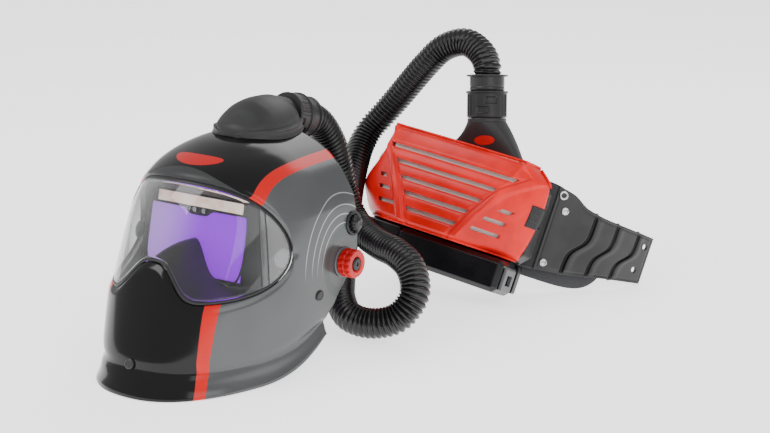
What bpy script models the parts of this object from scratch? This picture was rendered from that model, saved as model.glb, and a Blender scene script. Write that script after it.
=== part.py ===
"""Powered air respirator: a welding helmet joined by a breathing hose to a belt-worn blower.

Sizes are in millimetres and become metres in mesh_of(). The helmet faces -Y and its left side is +X.
The blower is built upright in a frame of its own, which then leans back on its belt plate.
"""
import math

import bmesh
import bpy
from mathutils import Euler, Matrix, Vector

MM = 0.001
GAP = 0.3                      # clearance between pieces that touch

# ---- helmet shell -------------------------------------------------------------------------------
SHELL_HEIGHT = 231.0
SHELL_REACH = 191.0            # from the section centre forward to the chin
SHELL_HALF_WIDTH = 110.0
SHELL_WALL = 2.5
SECTION_CENTRE_Y = 60.0        # sections are half ovals in front of this line, straight behind it
REAR_EDGE_Y = 110.0
RIM_RISE = 30.0                # how far the rim climbs towards the ears
# each station: share of height, share of reach, share of half width, squareness of the oval
SHELL_STATIONS = [
    (0.000, 1.000, 0.955, 2.30), (0.035, 0.979, 0.927, 2.30), (0.087, 0.953, 0.909, 2.35),
    (0.195, 0.911, 0.936, 2.40), (0.368, 0.832, 0.982, 2.40), (0.541, 0.743, 1.000, 2.25),
    (0.693, 0.660, 0.973, 2.15), (0.814, 0.576, 0.855, 2.10), (0.892, 0.487, 0.709, 2.05),
    (0.948, 0.346, 0.527, 2.00), (0.987, 0.178, 0.291, 2.00), (1.000, 0.000, 0.000, 2.00)]
# rear edge of the shell: share of height, distance behind the section centre as a share
REAR_EDGE = [(0.0, 0.04), (0.15, 0.12), (0.30, 0.40), (0.41, 0.80), (0.50, 1.0), (1.0, 1.0)]

# ---- viewing window and what sits in it ----------------------------------------------------------
WINDOW_HALF_ANGLE = math.radians(64.0)
WINDOW_MIDDLE = 128.0
WINDOW_TOP = 200.0
WINDOW_TOP_DROP = 24.0         # the top edge falls this much towards its ends
WINDOW_BOTTOM = 89.0
WINDOW_BOTTOM_LIFT = 8.0
NOSE_HEIGHT = 35.0
NOSE_HALF_ANGLE = 12.5         # degrees
LENS_FRAME_WIDTH = 4.0
LENS_FRAME_DEPTH = 4.0
LENS_FRAME_TAPER = 2.2
LENS_THICKNESS = 1.5
FILTER_WIDTH = 126.0
FILTER_HEIGHT = 86.0
FILTER_DEPTH = 8.0
FILTER_LEAN = math.radians(13.0)
FILTER_CENTRE = (0.0, -15.5, 136.0)
FILTER_WINDOW = (112.0, 60.0)
SOLAR_STRIP = (112.0, 10.5)

# ---- pivots, head gear ---------------------------------------------------------------------------
PIVOT_Y = 85.0
PIVOT_Z = 103.0
STUD_RADIUS = 5.5
STUD_SHOULDER_RADIUS = 9.0
SIDE_ARM_THICKNESS = 3.0
# from the pivot: forward and up
SIDE_ARM_OUTLINE = [(-13, -13), (13, -13), (17, 10), (17, 44), (-17, 48), (-17, 10)]
KNOB_RADIUS = 15.0
KNOB_THICKNESS = 15.0
HEAD_HALF_WIDTH = 80.0
HEAD_FRONT = -74.0             # measured from the pivot axis
HEAD_REAR = 100.0
BAND_HEIGHT = 22.0
BAND_THICKNESS = 2.0
BAND_FRONT_Z = 46.0
BAND_REAR_Z = 22.0
CROWN_RADIUS = 106.0           # crown straps, from the pivot axis
# name, lean, how far behind the pivot it starts
CROWN_STRAPS = (("crown_strap_front", math.radians(-10), -3.0), ("crown_strap_rear", math.radians(16), 18.0))

# ---- air duct and hose ---------------------------------------------------------------------------
DUCT_FRONT_Y = 12.0
DUCT_HALF_WIDTH = 46.0
DUCT_REAR_Y = 124.0
DUCT_HOLE_Y = 72.0
DUCT_SEAT = 1.4                # height of the duct's floor over the crown, room for its gasket
DUCT_HOLE_RADIUS = 16.0
# the duct's top line: y, and height over the shell's highest level
DUCT_TOP = [(12.0, -1.0), (30.0, 8.0), (52.0, 20.0), (76.0, 30.0), (98.0, 34.0), (112.0, 31.0),
            (124.0, 25.0)]
NECK_AT = (0.0, DUCT_REAR_Y - 12.0, SHELL_HEIGHT + 12.0)
NECK_DROP = math.radians(15.0)
SPIGOT_RADIUS = 17.0
SPIGOT_BORE = 14.0
SPIGOT_START = 4.5             # clear of the shell's rear edge
SPIGOT_END = 50.0
DUCT_PASSAGE_RADIUS = 9.0
COUPLING_RADIUS = 23.0
CUFF_RADIUS = 20.5
HOSE_RADIUS = 16.75
HELMET_COUPLING = (18.5, 38.5)    # from and to, along the neck
HELMET_CUFF_END = 58.0
BLOWER_COUPLING = (44.6, 76.0)     # from and to, along the outlet
BLOWER_CUFF_END = 95.5
# the hose's route between its two cuffs, helmet end first
HOSE_ROUTE = [
    (1, 191, 216), (2, 209, 192), (1, 223, 162), (4, 230, 132), (18, 227, 105), (44, 217, 91),
    (72, 205, 86), (101, 194, 84), (128, 182, 74), (142, 168, 52), (131, 153, 28), (104, 142, 19),
    (75, 141, 22), (52, 157, 33), (32, 184, 45), (10, 216, 58), (-14, 252, 73), (-38, 292, 91),
    (-60, 330, 112), (-73, 358, 132), (-78, 376, 149), (-75, 390, 166), (-63, 401, 184),
    (-47, 409, 205), (-28, 414, 229), (-9, 417, 251), (13, 421, 272), (43, 422, 281), (69, 417, 270)]

# ---- blower frame and cover ----------------------------------------------------------------------
BLOWER_AT = (75.4, 318.2, 131.3)
BLOWER_TURN = (math.radians(-22.65), math.radians(8.97), math.radians(5.84))
COVER_TOP = 54.5
COVER_BOTTOM = -53.5
COVER_DEPTH = 46.5
COVER_WALL = 2.5
# height, width to the left, width to the right of the cover's rim
COVER_OUTLINE = [(-53.5, 102.0, 101.0), (-42.0, 110.0, 105.0), (-18.0, 122.0, 110.0),
                 (10.0, 114.0, 113.0), (36.0, 104.0, 111.0), (54.5, 92.0, 92.0)]
BAND_TOP_X = 88.0              # the raised bands run from the top corners in to here at the bottom
BAND_BOTTOM_X = 37.0
SLOT_HEIGHT = 7.0
SLOT_HEIGHTS = (37.0, 20.0, 3.0, -14.0, -31.0)
SIDE_SLOT_HEIGHTS = (8.0, -10.0, -28.0)

# ---- blower casing and insides -------------------------------------------------------------------
HOUSING_DEPTH = 25.5           # behind the cover
HOUSING_BACK_Y = COVER_DEPTH + HOUSING_DEPTH
HOUSING_TOP = 52.0
HOUSING_BOTTOM = -58.0
HOUSING_HALF_WIDTH = 106.0
HOUSING_WALL = 2.5
LOWER_BOTTOM = -92.0
LATCH_Z = (-10.0, 16.0)         # cover latch, from and to
FILTER_HALF = (70.0, 40.0)
FILTER_FRONT_Y = 21.0
INLET_PLATE_Y = COVER_DEPTH + 2.6
FAN_AT = (-25.0, -3.0)         # fan axis in x and z
FAN_BLADES = 11
VOLUTE_RADIUS = 44.0
VOLUTE_WALL = 3.0
FAN_RADIUS = VOLUTE_RADIUS - VOLUTE_WALL - 6.0
FAN_INLET_RADIUS = 20.0
MOTOR_RADIUS = 17.0
OUTLET_AT = (16.0, HOUSING_BACK_Y - 14.0, 52.4)
OUTLET_AXIS = (-0.25, -0.2, 0.947)
OUTLET_HALF = (54.0, 9.0)
OUTLET_CONE = 40.0
OUTLET_SPIGOT_END = 88.0
OUTLET_SIDES = 24
BUTTON_TRAVEL = 1.0
BATTERY_X = (-42.0, 100.0)
BATTERY_Y = (14.0, HOUSING_BACK_Y - 10.0)
BATTERY_Z = (-97.0, -58.6)
LATCH_HINGE_Z = -67.2
LATCH_WIDTH = 26.0
LATCH_LENGTH = 26.0

# ---- waist belt plate ----------------------------------------------------------------------------
BELT_RADIUS = 210.0
BELT_THICKNESS = 3.5
BELT_CENTRE_Y = HOUSING_BACK_Y + GAP + BELT_RADIUS
PLATE_ANGLE = math.radians(34.0)
WING_ANGLES = (math.radians(28.5), math.radians(66.0))
WING_TOP = [(0.0, 46.0), (0.14, 42.0), (0.30, 31.0), (0.5, 27.0), (1.0, 25.0)]
WING_BOTTOM = [(0.0, -56.0), (0.3, -50.0), (0.6, -41.0), (1.0, -31.8)]
RIVET_RADIUS = 4.0
BELT_HOLE_RADIUS = 3.6

FINISHES = {
    "shell_black": ((0.012, 0.012, 0.013), 0.12, 0.0), "matte_black": ((0.03, 0.03, 0.032), 0.6, 0.0),
    "hose_black": ((0.015, 0.015, 0.016), 0.35, 0.0), "cover_red": ((0.85, 0.03, 0.02), 0.25, 0.0),
    "knob_red": ((0.75, 0.02, 0.02), 0.35, 0.0), "clear": ((0.75, 0.78, 0.8), 0.05, 0.0),
    "filter_purple": ((0.25, 0.03, 0.8), 0.1, 0.0), "solar": ((0.75, 0.55, 0.5), 0.3, 0.0),
    "grey_plastic": ((0.12, 0.12, 0.125), 0.5, 0.0), "steel": ((0.7, 0.7, 0.72), 0.25, 1.0),
    "fabric": ((0.04, 0.04, 0.045), 0.9, 0.0), "paper": ((0.75, 0.73, 0.68), 0.9, 0.0),
    "board_green": ((0.02, 0.2, 0.06), 0.4, 0.0)}


# ================================ helpers =========================================================
def clear_scene():
    for old in list(bpy.data.objects):
        bpy.data.objects.remove(old, do_unlink=True)


def collection(name, hidden=False):
    group = bpy.data.collections.new(name)
    bpy.context.scene.collection.children.link(group)
    group.hide_render = hidden
    return group


def finish_named(name):
    material = bpy.data.materials.get(name)
    if material is None:
        colour, roughness, metallic = FINISHES[name]
        material = bpy.data.materials.new(name)
        material.use_nodes = True
        shader = material.node_tree.nodes["Principled BSDF"]
        shader.inputs["Base Color"].default_value = (*colour, 1.0)
        shader.inputs["Roughness"].default_value = roughness
        shader.inputs["Metallic"].default_value = metallic
    return material


def add(name, data, finish, parent):
    """Links an object; a finish of None makes it a cutter."""
    thing = bpy.data.objects.new(name, data)
    if finish is None:
        CUTTERS.objects.link(thing)
        thing.hide_render = True
        thing.display_type = "WIRE"
    else:
        PARTS.objects.link(thing)
        data.materials.append(finish_named(finish))
    thing.parent = parent
    return thing


def empty(name, at, turn, parent):
    frame = bpy.data.objects.new(name, None)
    PARTS.objects.link(frame)
    frame.rotation_mode = "YXZ"
    frame.location = Vector(at) * MM
    frame.rotation_euler = turn
    frame.parent = parent
    return frame


def aim(thing, at, axis):
    """Puts an object's own Z along an axis, at a point in its parent's frame."""
    thing.location = Vector(at) * MM
    thing.rotation_mode = "QUATERNION"
    thing.rotation_quaternion = Vector((0, 0, 1)).rotation_difference(Vector(axis).normalized())
    return thing


def mesh_of(bm, name):
    bmesh.ops.scale(bm, vec=(MM, MM, MM), verts=bm.verts)
    mesh = bpy.data.meshes.new(name)
    bm.to_mesh(mesh)
    bm.free()
    mesh.shade_smooth()
    mesh.set_sharp_from_angle(angle=math.radians(35))
    return mesh


def surface(name, rows, finish, parent, ring=False, skip=None, caps=False, closed=False, fill=False):
    """Quads through a grid of points.

    ring joins each row's ends, caps closes the end rows, closed says that the last row meets the
    first, and fill puts one face over the open boundary.
    """
    bm = bmesh.new()
    verts = [[bm.verts.new(p) for p in row] for row in rows]
    across = len(rows[0]) if ring else len(rows[0]) - 1
    for i in range(len(rows) - 1):
        for j in range(across):
            if skip and skip(i, j):
                continue
            k = (j + 1) % len(rows[0])
            bm.faces.new((verts[i][j], verts[i][k], verts[i + 1][k], verts[i + 1][j]))
    if caps:
        bm.faces.new(list(reversed(verts[0])))
        bm.faces.new(verts[-1])
    bmesh.ops.remove_doubles(bm, verts=bm.verts, dist=0.01)
    if fill:
        rim = [edge for edge in bm.edges if edge.is_boundary]
        bmesh.ops.edgeloop_fill(bm, edges=rim)
    if caps or closed or fill:
        bmesh.ops.recalc_face_normals(bm, faces=bm.faces)
        bmesh.ops.triangulate(bm, faces=bm.faces)
    return add(name, mesh_of(bm, name), finish, parent)


def box(name, low, high, finish, parent, bevel=0.8):
    bm = bmesh.new()
    bmesh.ops.create_cube(bm, size=1.0)
    size = [high[k] - low[k] for k in range(3)]
    middle = [(high[k] + low[k]) / 2 for k in range(3)]
    bmesh.ops.scale(bm, vec=size, verts=bm.verts)
    bmesh.ops.translate(bm, vec=middle, verts=bm.verts)
    thing = add(name, mesh_of(bm, name), finish, parent)
    if bevel:
        edge = thing.modifiers.new("edges", "BEVEL")
        edge.width = bevel * MM
        edge.segments = 1
    return thing


def turned(name, profile, finish, parent, at=(0, 0, 0), axis=(0, 0, 1), steps=24, hollow=False):
    """A profile of (radius, height) turned about Z, then aimed; a hollow one is a closed loop."""
    mesh = bpy.data.meshes.new(name)
    count = len(profile)
    edges = [(k, k + 1) for k in range(count - 1)]
    if hollow:
        edges.append((count - 1, 0))
    mesh.from_pydata([(r * MM, 0, z * MM) for r, z in profile], edges, [])
    thing = add(name, mesh, finish, parent)
    screw = thing.modifiers.new("turn", "SCREW")
    screw.axis = "Z"
    screw.steps = steps
    screw.render_steps = steps
    screw.use_merge_vertices = True
    screw.merge_threshold = 0.00001
    screw.use_smooth_shade = False
    return aim(thing, at, axis)


def rod(name, radius, low, high, finish, parent, at=(0, 0, 0), axis=(0, 0, 1), steps=24):
    profile = [(0, high), (radius, high), (radius, low), (0, low)]
    return turned(name, profile, finish, parent, at, axis, steps)


def sleeve(name, outer, inner, low, high, finish, parent, at=(0, 0, 0), axis=(0, 0, 1), steps=24):
    profile = [(outer, high), (outer, low), (inner, low), (inner, high)]
    return turned(name, profile, finish, parent, at, axis, steps, hollow=True)


def slab(name, outline, low, high, finish, parent, turn=(0, 0, 0)):
    """A flat outline, extruded from low to high along its Z, then turned in its parent's frame."""
    flat = bpy.data.curves.new(name, "CURVE")
    flat.dimensions = "2D"
    flat.fill_mode = "BOTH"
    flat.extrude = (high - low) / 2 * MM
    spline = flat.splines.new("POLY")
    spline.points.add(len(outline) - 1)
    for point, (x, y) in zip(spline.points, outline):
        point.co = (x * MM, y * MM, 0, 1)
    spline.use_cyclic_u = True
    shape = bpy.data.objects.new(name + "_outline", flat)
    bpy.context.scene.collection.objects.link(shape)
    graph = bpy.context.evaluated_depsgraph_get()
    mesh = bpy.data.meshes.new_from_object(shape.evaluated_get(graph))
    bpy.data.objects.remove(shape, do_unlink=True)
    bm = bmesh.new()
    bm.from_mesh(mesh)
    bmesh.ops.remove_doubles(bm, verts=bm.verts, dist=0.000001)
    lift = Matrix.Translation((0, 0, (high + low) / 2 * MM))
    bmesh.ops.transform(bm, matrix=Euler(turn).to_matrix().to_4x4() @ lift, verts=bm.verts)
    bm.to_mesh(mesh)
    bm.free()
    mesh.name = name
    return add(name, mesh, finish, parent)


def combine(target, tool, operation):
    boolean = target.modifiers.new(tool.name, "BOOLEAN")
    boolean.operation = operation
    boolean.object = tool
    boolean.solver = "EXACT"
    return target


def cut(target, tool):
    return combine(target, tool, "DIFFERENCE")


def join(target, tool):
    return combine(target, tool, "UNION")


def thicken(thing, wall, offset=-1.0):
    wallness = thing.modifiers.new("wall", "SOLIDIFY")
    wallness.thickness = wall * MM
    wallness.offset = offset
    return thing


def smooth_table(table, column, x):
    """Monotone cubic reading of one column of a table, by its first column."""
    xs = [row[0] for row in table]
    ys = [row[column] for row in table]
    x = min(max(x, xs[0]), xs[-1])
    last = len(xs) - 1
    slopes = [(ys[k + 1] - ys[k]) / (xs[k + 1] - xs[k]) for k in range(last)]
    tangents = [slopes[0]]
    for before, after in zip(slopes, slopes[1:]):
        tangents.append(0.0 if before * after <= 0 else 2 * before * after / (before + after))
    tangents.append(slopes[-1])
    k = max(i for i in range(last) if xs[i] <= x)
    span = xs[k + 1] - xs[k]
    f = (x - xs[k]) / span
    rise = ys[k] * (2 * f ** 3 - 3 * f ** 2 + 1) + ys[k + 1] * (3 * f ** 2 - 2 * f ** 3)
    return rise + span * (tangents[k] * (f ** 3 - 2 * f ** 2 + f) + tangents[k + 1] * (f ** 3 - f ** 2))


# ================================ helmet ==========================================================
def midline_stations():
    """The stations again, led by their distance along the midline, so the crown stays smooth."""
    rows = []
    travelled = 0.0
    for k, (height, reach, width, power) in enumerate(SHELL_STATIONS):
        if k:
            rise = (height - SHELL_STATIONS[k - 1][0]) * SHELL_HEIGHT
            step = (reach - SHELL_STATIONS[k - 1][1]) * SHELL_REACH
            travelled += math.hypot(rise, step)
        rows.append((travelled, height * SHELL_HEIGHT, reach * SHELL_REACH,
                     width * SHELL_HALF_WIDTH, power))
    return rows


STATIONS = midline_stations()
MIDLINE_LENGTH = STATIONS[-1][0]


def travel_at(height):
    """Distance along the midline at which the shell has this height."""
    low, high = 0.0, MIDLINE_LENGTH
    for _ in range(40):
        middle = (low + high) / 2
        if smooth_table(STATIONS, 1, middle) < height:
            low = middle
        else:
            high = middle
    return (low + high) / 2


def shell_point(angle, travel, back=0.0, depth=0.0):
    """A point of the shell: angle round the section, travel up the midline, back past the sides."""
    height, reach, width, power = (smooth_table(STATIONS, k, travel) for k in (1, 2, 3, 4))
    reach = max(reach - depth, 0.001)
    width = max(width - depth, 0.001)
    side = abs(math.sin(angle)) / width
    front = abs(math.cos(angle)) / reach
    radius = (side ** power + front ** power) ** (-1.0 / power)
    turn = min(max((abs(angle) - math.pi / 4) / (math.pi / 4), 0.0), 1.0)
    lift = RIM_RISE * turn ** 2 * max(1 - height / 60.0, 0.0)
    edge = smooth_table(REAR_EDGE, 1, height / SHELL_HEIGHT) * (REAR_EDGE_Y - SECTION_CENTRE_Y)
    return Vector((radius * math.sin(angle), SECTION_CENTRE_Y - radius * math.cos(angle) + back * edge,
                   height + lift))


def crown_height(x, y):
    """Height of the shell's outer face above a point of the crown."""
    low, high = travel_at(SHELL_HEIGHT * 0.75), MIDLINE_LENGTH
    for _ in range(40):
        middle = (low + high) / 2
        reach, width, power = (smooth_table(STATIONS, k, middle) for k in (2, 3, 4))
        ahead = max(SECTION_CENTRE_Y - y, 0.0) / max(reach, 0.001)
        inside = (abs(x) / max(width, 0.001)) ** power + ahead ** power < 1.0
        if inside:
            low = middle
        else:
            high = middle
    return smooth_table(STATIONS, 1, (low + high) / 2)


def window_point(u, side, inset, depth):
    """A point of the window's outline: u from -1 to 1 along it, side 1 for the top edge, -1 below."""
    angle = u * (WINDOW_HALF_ANGLE - inset / SHELL_HALF_WIDTH)
    share = abs(angle) / WINDOW_HALF_ANGLE
    degrees = abs(math.degrees(angle))
    if side > 0:
        height = WINDOW_TOP - WINDOW_TOP_DROP * share ** 2 - inset
    else:
        lift = WINDOW_BOTTOM_LIFT * max((degrees - 20) / 44, 0.0) ** 2
        nose = NOSE_HEIGHT * math.exp(-(degrees / (NOSE_HALF_ANGLE + inset / 3)) ** 3)
        height = WINDOW_BOTTOM + lift + nose + inset
    rounding = math.sqrt(max(1 - abs(u) ** 5, 0.0))
    height = WINDOW_MIDDLE + (height - WINDOW_MIDDLE) * rounding
    return shell_point(angle, travel_at(height), depth=depth)


def window_ring(inset, depth, half=18):
    top = [window_point(k / half, 1, inset, depth) for k in range(-half, half)]
    bottom = [window_point(-k / half, -1, inset, depth) for k in range(-half, half)]
    return top + bottom


def make_shell(helmet):
    half = 18
    columns = [(-math.pi / 2, k) for k in (1.0, 0.6, 0.3)]
    columns += [(-math.pi / 2 + k * (math.pi / 2 - WINDOW_HALF_ANGLE) / 3, 0.0) for k in range(3)]
    columns += [(WINDOW_HALF_ANGLE * k / half, 0.0) for k in range(-half, half + 1)]
    columns += [(-angle, back) for angle, back in reversed(columns[:6])]
    below = (0.0, 0.1, 0.22, 0.5, 0.75, 1.0)
    above = (0.0, 0.2, 0.4, 0.6, 0.8, 0.92, 1.0)
    rows = [[] for _ in range(len(below) + len(above))]
    for angle, back in columns:
        share = angle / WINDOW_HALF_ANGLE
        if abs(share) <= 1.0001:
            share = min(max(share, -1.0), 1.0)
            lower = travel_at(window_point(share, -1, 0.0, 0.0).z)
            upper = travel_at(window_point(share, 1, 0.0, 0.0).z)
        else:
            lower = upper = travel_at(WINDOW_MIDDLE)
        for k, part in enumerate(below):
            rows[k].append(shell_point(angle, lower * part, back))
        for k, part in enumerate(above):
            travel = upper + (MIDLINE_LENGTH - upper) * part
            rows[len(below) + k].append(shell_point(angle, travel, back))
    shell = surface("helmet_shell", rows, "shell_black", helmet,
                    skip=lambda i, j: i == len(below) - 1)
    thicken(shell, SHELL_WALL)
    wide = SHELL_HALF_WIDTH + 20
    cut(shell, rod("pivot_holes", STUD_RADIUS + 0.5, -wide, wide, None, helmet,
                   (0, PIVOT_Y, PIVOT_Z), (1, 0, 0), 16))
    cut(shell, rod("duct_hole", DUCT_HOLE_RADIUS, SHELL_HEIGHT - 15, SHELL_HEIGHT + 15, None, helmet,
                   (0, DUCT_HOLE_Y, 0)))
    return shell


def make_window(helmet):
    clear = 3 * GAP
    front = window_ring(clear, 0.0)
    back = window_ring(clear + LENS_FRAME_TAPER, LENS_FRAME_DEPTH)
    inner_front = window_ring(LENS_FRAME_WIDTH, 0.0)
    inner_back = window_ring(LENS_FRAME_WIDTH + LENS_FRAME_TAPER, LENS_FRAME_DEPTH)
    loops = list(zip(front, back, inner_back, inner_front))
    frame = surface("lens_frame", [list(loop) for loop in loops] + [list(loops[0])], "matte_black",
                    helmet, ring=True, closed=True)
    half = 12
    inset = LENS_FRAME_WIDTH + LENS_FRAME_TAPER + 3 * GAP
    rows = []
    for share in (0.0, 0.25, 0.5, 0.75, 1.0):
        row = []
        for k in range(-half, half + 1):
            low = window_point(k / half, -1, inset, 1.0)
            high = window_point(k / half, 1, inset, 1.0)
            angle = math.atan2(low.x, SECTION_CENTRE_Y - low.y)
            travel = travel_at(low.z + (high.z - low.z) * share)
            row.append(shell_point(angle, travel, depth=1.0))
        rows.append(row)
    lens = surface("cover_lens", rows, "clear", helmet)
    thicken(lens, LENS_THICKNESS)
    return frame, lens


def make_filter(helmet):
    """The auto-darkening cassette, in a frame that leans back with its face at local y = 0."""
    lean = empty("filter_lean", FILTER_CENTRE, (-FILTER_LEAN, 0, 0), helmet)
    wide, high = FILTER_WIDTH / 2, FILTER_HEIGHT / 2
    window_x, window_z = FILTER_WINDOW[0] / 2, FILTER_WINDOW[1] / 2
    drop = -7.0                # the window sits below the cassette's middle
    body = box("filter_housing", (-wide, 0, -high), (wide, FILTER_DEPTH, high), "matte_black", lean, 2.0)
    cut(body, box("filter_opening", (-window_x, -5, drop - window_z),
                  (window_x, FILTER_DEPTH + 5, drop + window_z), None, lean, 0))
    box("darkening_filter", (-window_x + GAP, 2.0, drop - window_z + GAP),
        (window_x - GAP, 4.5, drop + window_z - GAP), "filter_purple", lean, 0)
    strip_x, strip_z = SOLAR_STRIP[0] / 2, SOLAR_STRIP[1]
    box("solar_strip", (-strip_x, -1.5, high - 3 - strip_z), (strip_x, -GAP, high - 3), "solar", lean, 0)
    for name, x in (("light_sensor_left", 6.0), ("light_sensor_right", -6.0)):
        rod(name, 2.5, GAP, 1.8, "steel", lean, (x, 0, drop + window_z + 3.2), (0, -1, 0), 10)
    outline = [(-wide, -58), (wide, -58), (wide, -45), (34, -42), (14, -12), (-14, -12), (-34, -42),
               (-wide, -45)]
    slab("nose_shield", outline, GAP, 1.8, "matte_black", lean, (math.pi / 2, 0, 0))


def make_small_helmet_parts(helmet):
    chin_travel = travel_at(30.0)
    plugs = (("chin_plug", 0.0, chin_travel), ("side_plug_left", math.radians(83), travel_at(76.0)),
             ("side_plug_right", math.radians(-83), travel_at(76.0)))
    for name, angle, travel in plugs:
        at, out = on_shell(angle, travel)
        turned(name, [(0, 2.0), (3.5, 2.0), (5.5, 0.9), (5.5, GAP), (0, GAP)], "matte_black", helmet,
               at, out, 14)


def on_shell(angle, travel, back=0.0):
    """A point of the shell's outer face, and the way out of it."""
    here = shell_point(angle, travel, back)
    step = 0.01
    around = shell_point(angle + step, travel, back) - shell_point(angle - step, travel, back)
    if back:
        around = Vector((0, math.copysign(1, angle), 0))
    up = shell_point(angle, travel + 1, back) - shell_point(angle, travel - 1, back)
    out = around.cross(up).normalized()
    if out.dot(here - Vector((0, SECTION_CENTRE_Y, here.z))) < 0:
        out = -out
    return here, out


def make_duct(helmet):
    arch, floor = 10, 8
    rows = []
    steps = 9
    for k in range(steps + 1):
        y = DUCT_FRONT_Y + (DUCT_REAR_Y - DUCT_FRONT_Y) * k / steps
        widest = DUCT_FRONT_Y + 0.6 * (DUCT_REAR_Y - DUCT_FRONT_Y)
        if y < widest:
            swell = 1 - ((widest - y) / (widest - DUCT_FRONT_Y + 3)) ** 2
        else:
            swell = 1 - 0.75 * ((y - widest) / (DUCT_REAR_Y - widest)) ** 2
        half = DUCT_HALF_WIDTH * swell ** 0.5
        top = SHELL_HEIGHT + smooth_table(DUCT_TOP, 1, y)
        base = crown_height(half, y) + DUCT_SEAT
        ring = []
        for j in range(arch + 1):
            turn = math.pi * j / arch
            across = half * math.copysign(abs(math.cos(turn)) ** 0.8, math.cos(turn))
            ring.append((across, y, base + (top - base) * math.sin(turn) ** 1.1))
        for j in range(1, floor):
            across = -half + 2 * half * j / floor
            ring.append((across, y, crown_height(across, y) + DUCT_SEAT))
        rows.append(ring)
    duct = surface("air_duct", rows, "matte_black", helmet, ring=True, caps=True)
    axis = (0, math.cos(NECK_DROP), -math.sin(NECK_DROP))
    join(duct, rod("duct_spigot", SPIGOT_RADIUS, SPIGOT_START, SPIGOT_END, None, helmet, NECK_AT, axis))
    cut(duct, rod("duct_bore", SPIGOT_BORE, SPIGOT_START, SPIGOT_END + 5, None, helmet, NECK_AT, axis))
    passage_z = SHELL_HEIGHT + 12.5
    cut(duct, rod("duct_inlet", DUCT_HOLE_RADIUS - 3, SHELL_HEIGHT - 15, passage_z + 7, None, helmet,
                  (0, DUCT_HOLE_Y, 0)))
    cut(duct, rod("duct_passage", DUCT_PASSAGE_RADIUS, 0, DUCT_REAR_Y - 4 - DUCT_HOLE_Y, None, helmet,
                  (0, DUCT_HOLE_Y, passage_z), (0, 1, 0)))
    return duct


def make_helmet_coupling(helmet):
    axis = (0, math.cos(NECK_DROP), -math.sin(NECK_DROP))
    low, high = HELMET_COUPLING
    inner = SPIGOT_RADIUS + GAP
    profile = [(COUPLING_RADIUS, high - 2), (COUPLING_RADIUS, low + 3), (COUPLING_RADIUS - 2, low),
               (inner, low), (inner, high), (COUPLING_RADIUS - 2, high)]
    ring = turned("helmet_coupling", profile, "matte_black", helmet, NECK_AT, axis, 24, True)
    tab = box("coupling_tab", (-6, 0, low + 4), (6, COUPLING_RADIUS + 3, high - 3), None, ring, 0)
    core = rod("coupling_core", inner, low - 5, high + 5, None, ring)
    join(ring, tab)
    cut(ring, core)
    cuff = [(CUFF_RADIUS + 2, HELMET_CUFF_END), (CUFF_RADIUS + 2, HELMET_CUFF_END - 2),
            (CUFF_RADIUS, HELMET_CUFF_END - 3), (CUFF_RADIUS, high + GAP), (inner, high + GAP),
            (inner, HELMET_CUFF_END)]
    turned("hose_cuff_helmet", cuff, "hose_black", helmet, NECK_AT, axis, 20, True)


# ================================ head gear =======================================================
def band_height(y):
    share = (y - HEAD_FRONT) / (HEAD_REAR - HEAD_FRONT)
    return BAND_FRONT_Z + (BAND_REAR_Z - BAND_FRONT_Z) * share


def make_headgear(helmet):
    gear = empty("headgear_pivot", (0, PIVOT_Y, PIVOT_Z), (0, 0, 0), helmet)
    centre_y = (HEAD_FRONT + HEAD_REAR) / 2
    half_length = (HEAD_REAR - HEAD_FRONT) / 2
    count = 40

    def band_ring(outset, low, high, share_from, share_to, steps):
        rows = []
        for k in range(steps + 1):
            turn = 2 * math.pi * (share_from + (share_to - share_from) * k / steps)
            out = HEAD_HALF_WIDTH + outset
            y = centre_y - (half_length + outset) * math.cos(turn)
            inner_y = centre_y - (half_length + outset - BAND_THICKNESS) * math.cos(turn)
            x = out * math.sin(turn)
            inner_x = (out - BAND_THICKNESS) * math.sin(turn)
            z = band_height(y)
            rows.append([(x, y, z + low), (x, y, z + high), (inner_x, inner_y, z + high),
                         (inner_x, inner_y, z + low)])
        return rows

    half = BAND_HEIGHT / 2
    ring = band_ring(0, -half, half, 0.0, 1.0, count)
    surface("headband", ring, "grey_plastic", gear, ring=True, closed=True)
    pad = band_ring(-BAND_THICKNESS - GAP * 2, -half - 3, half + 3, -0.14, 0.14, 12)
    surface("sweatband", pad, "fabric", gear, ring=True, caps=True)
    for name, lean, behind in CROWN_STRAPS:
        rows = []
        for k in range(17):
            turn = math.radians(12 + 156 * k / 16)
            point = []
            for outset in (0, -BAND_THICKNESS):
                across = (HEAD_HALF_WIDTH - 6 + outset) * math.cos(turn)
                rise = (CROWN_RADIUS + outset) * math.sin(turn)
                point.append((across, rise))
            ring = []
            for (across, rise), side in ((point[0], -8), (point[0], 8), (point[1], 8), (point[1], -8)):
                y = math.sin(lean) * rise + math.cos(lean) * side
                z = math.cos(lean) * rise - math.sin(lean) * side
                ring.append((across, y + behind, z))
            rows.append(ring)
        surface(name, rows, "grey_plastic", gear, ring=True, caps=True)
    return gear


def make_side_arms(gear):
    inner = HEAD_HALF_WIDTH + GAP
    stud_end = SHELL_HALF_WIDTH + 8
    stud = [(0, stud_end), (STUD_RADIUS, stud_end), (STUD_RADIUS, SHELL_HALF_WIDTH - 6),
            (STUD_SHOULDER_RADIUS, SHELL_HALF_WIDTH - 7), (STUD_SHOULDER_RADIUS, inner + 1),
            (0, inner + 1)]
    for name, side in (("side_arm_left", 1), ("side_arm_right", -1)):
        near, far = sorted((side * inner, side * (inner + SIDE_ARM_THICKNESS)))
        arm = slab(name, SIDE_ARM_OUTLINE, near, far, "grey_plastic", gear, (math.pi / 2, 0, math.pi / 2))
        join(arm, turned(name + "_stud", stud, None, gear, (0, 0, 0), (side, 0, 0), 16))


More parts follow.
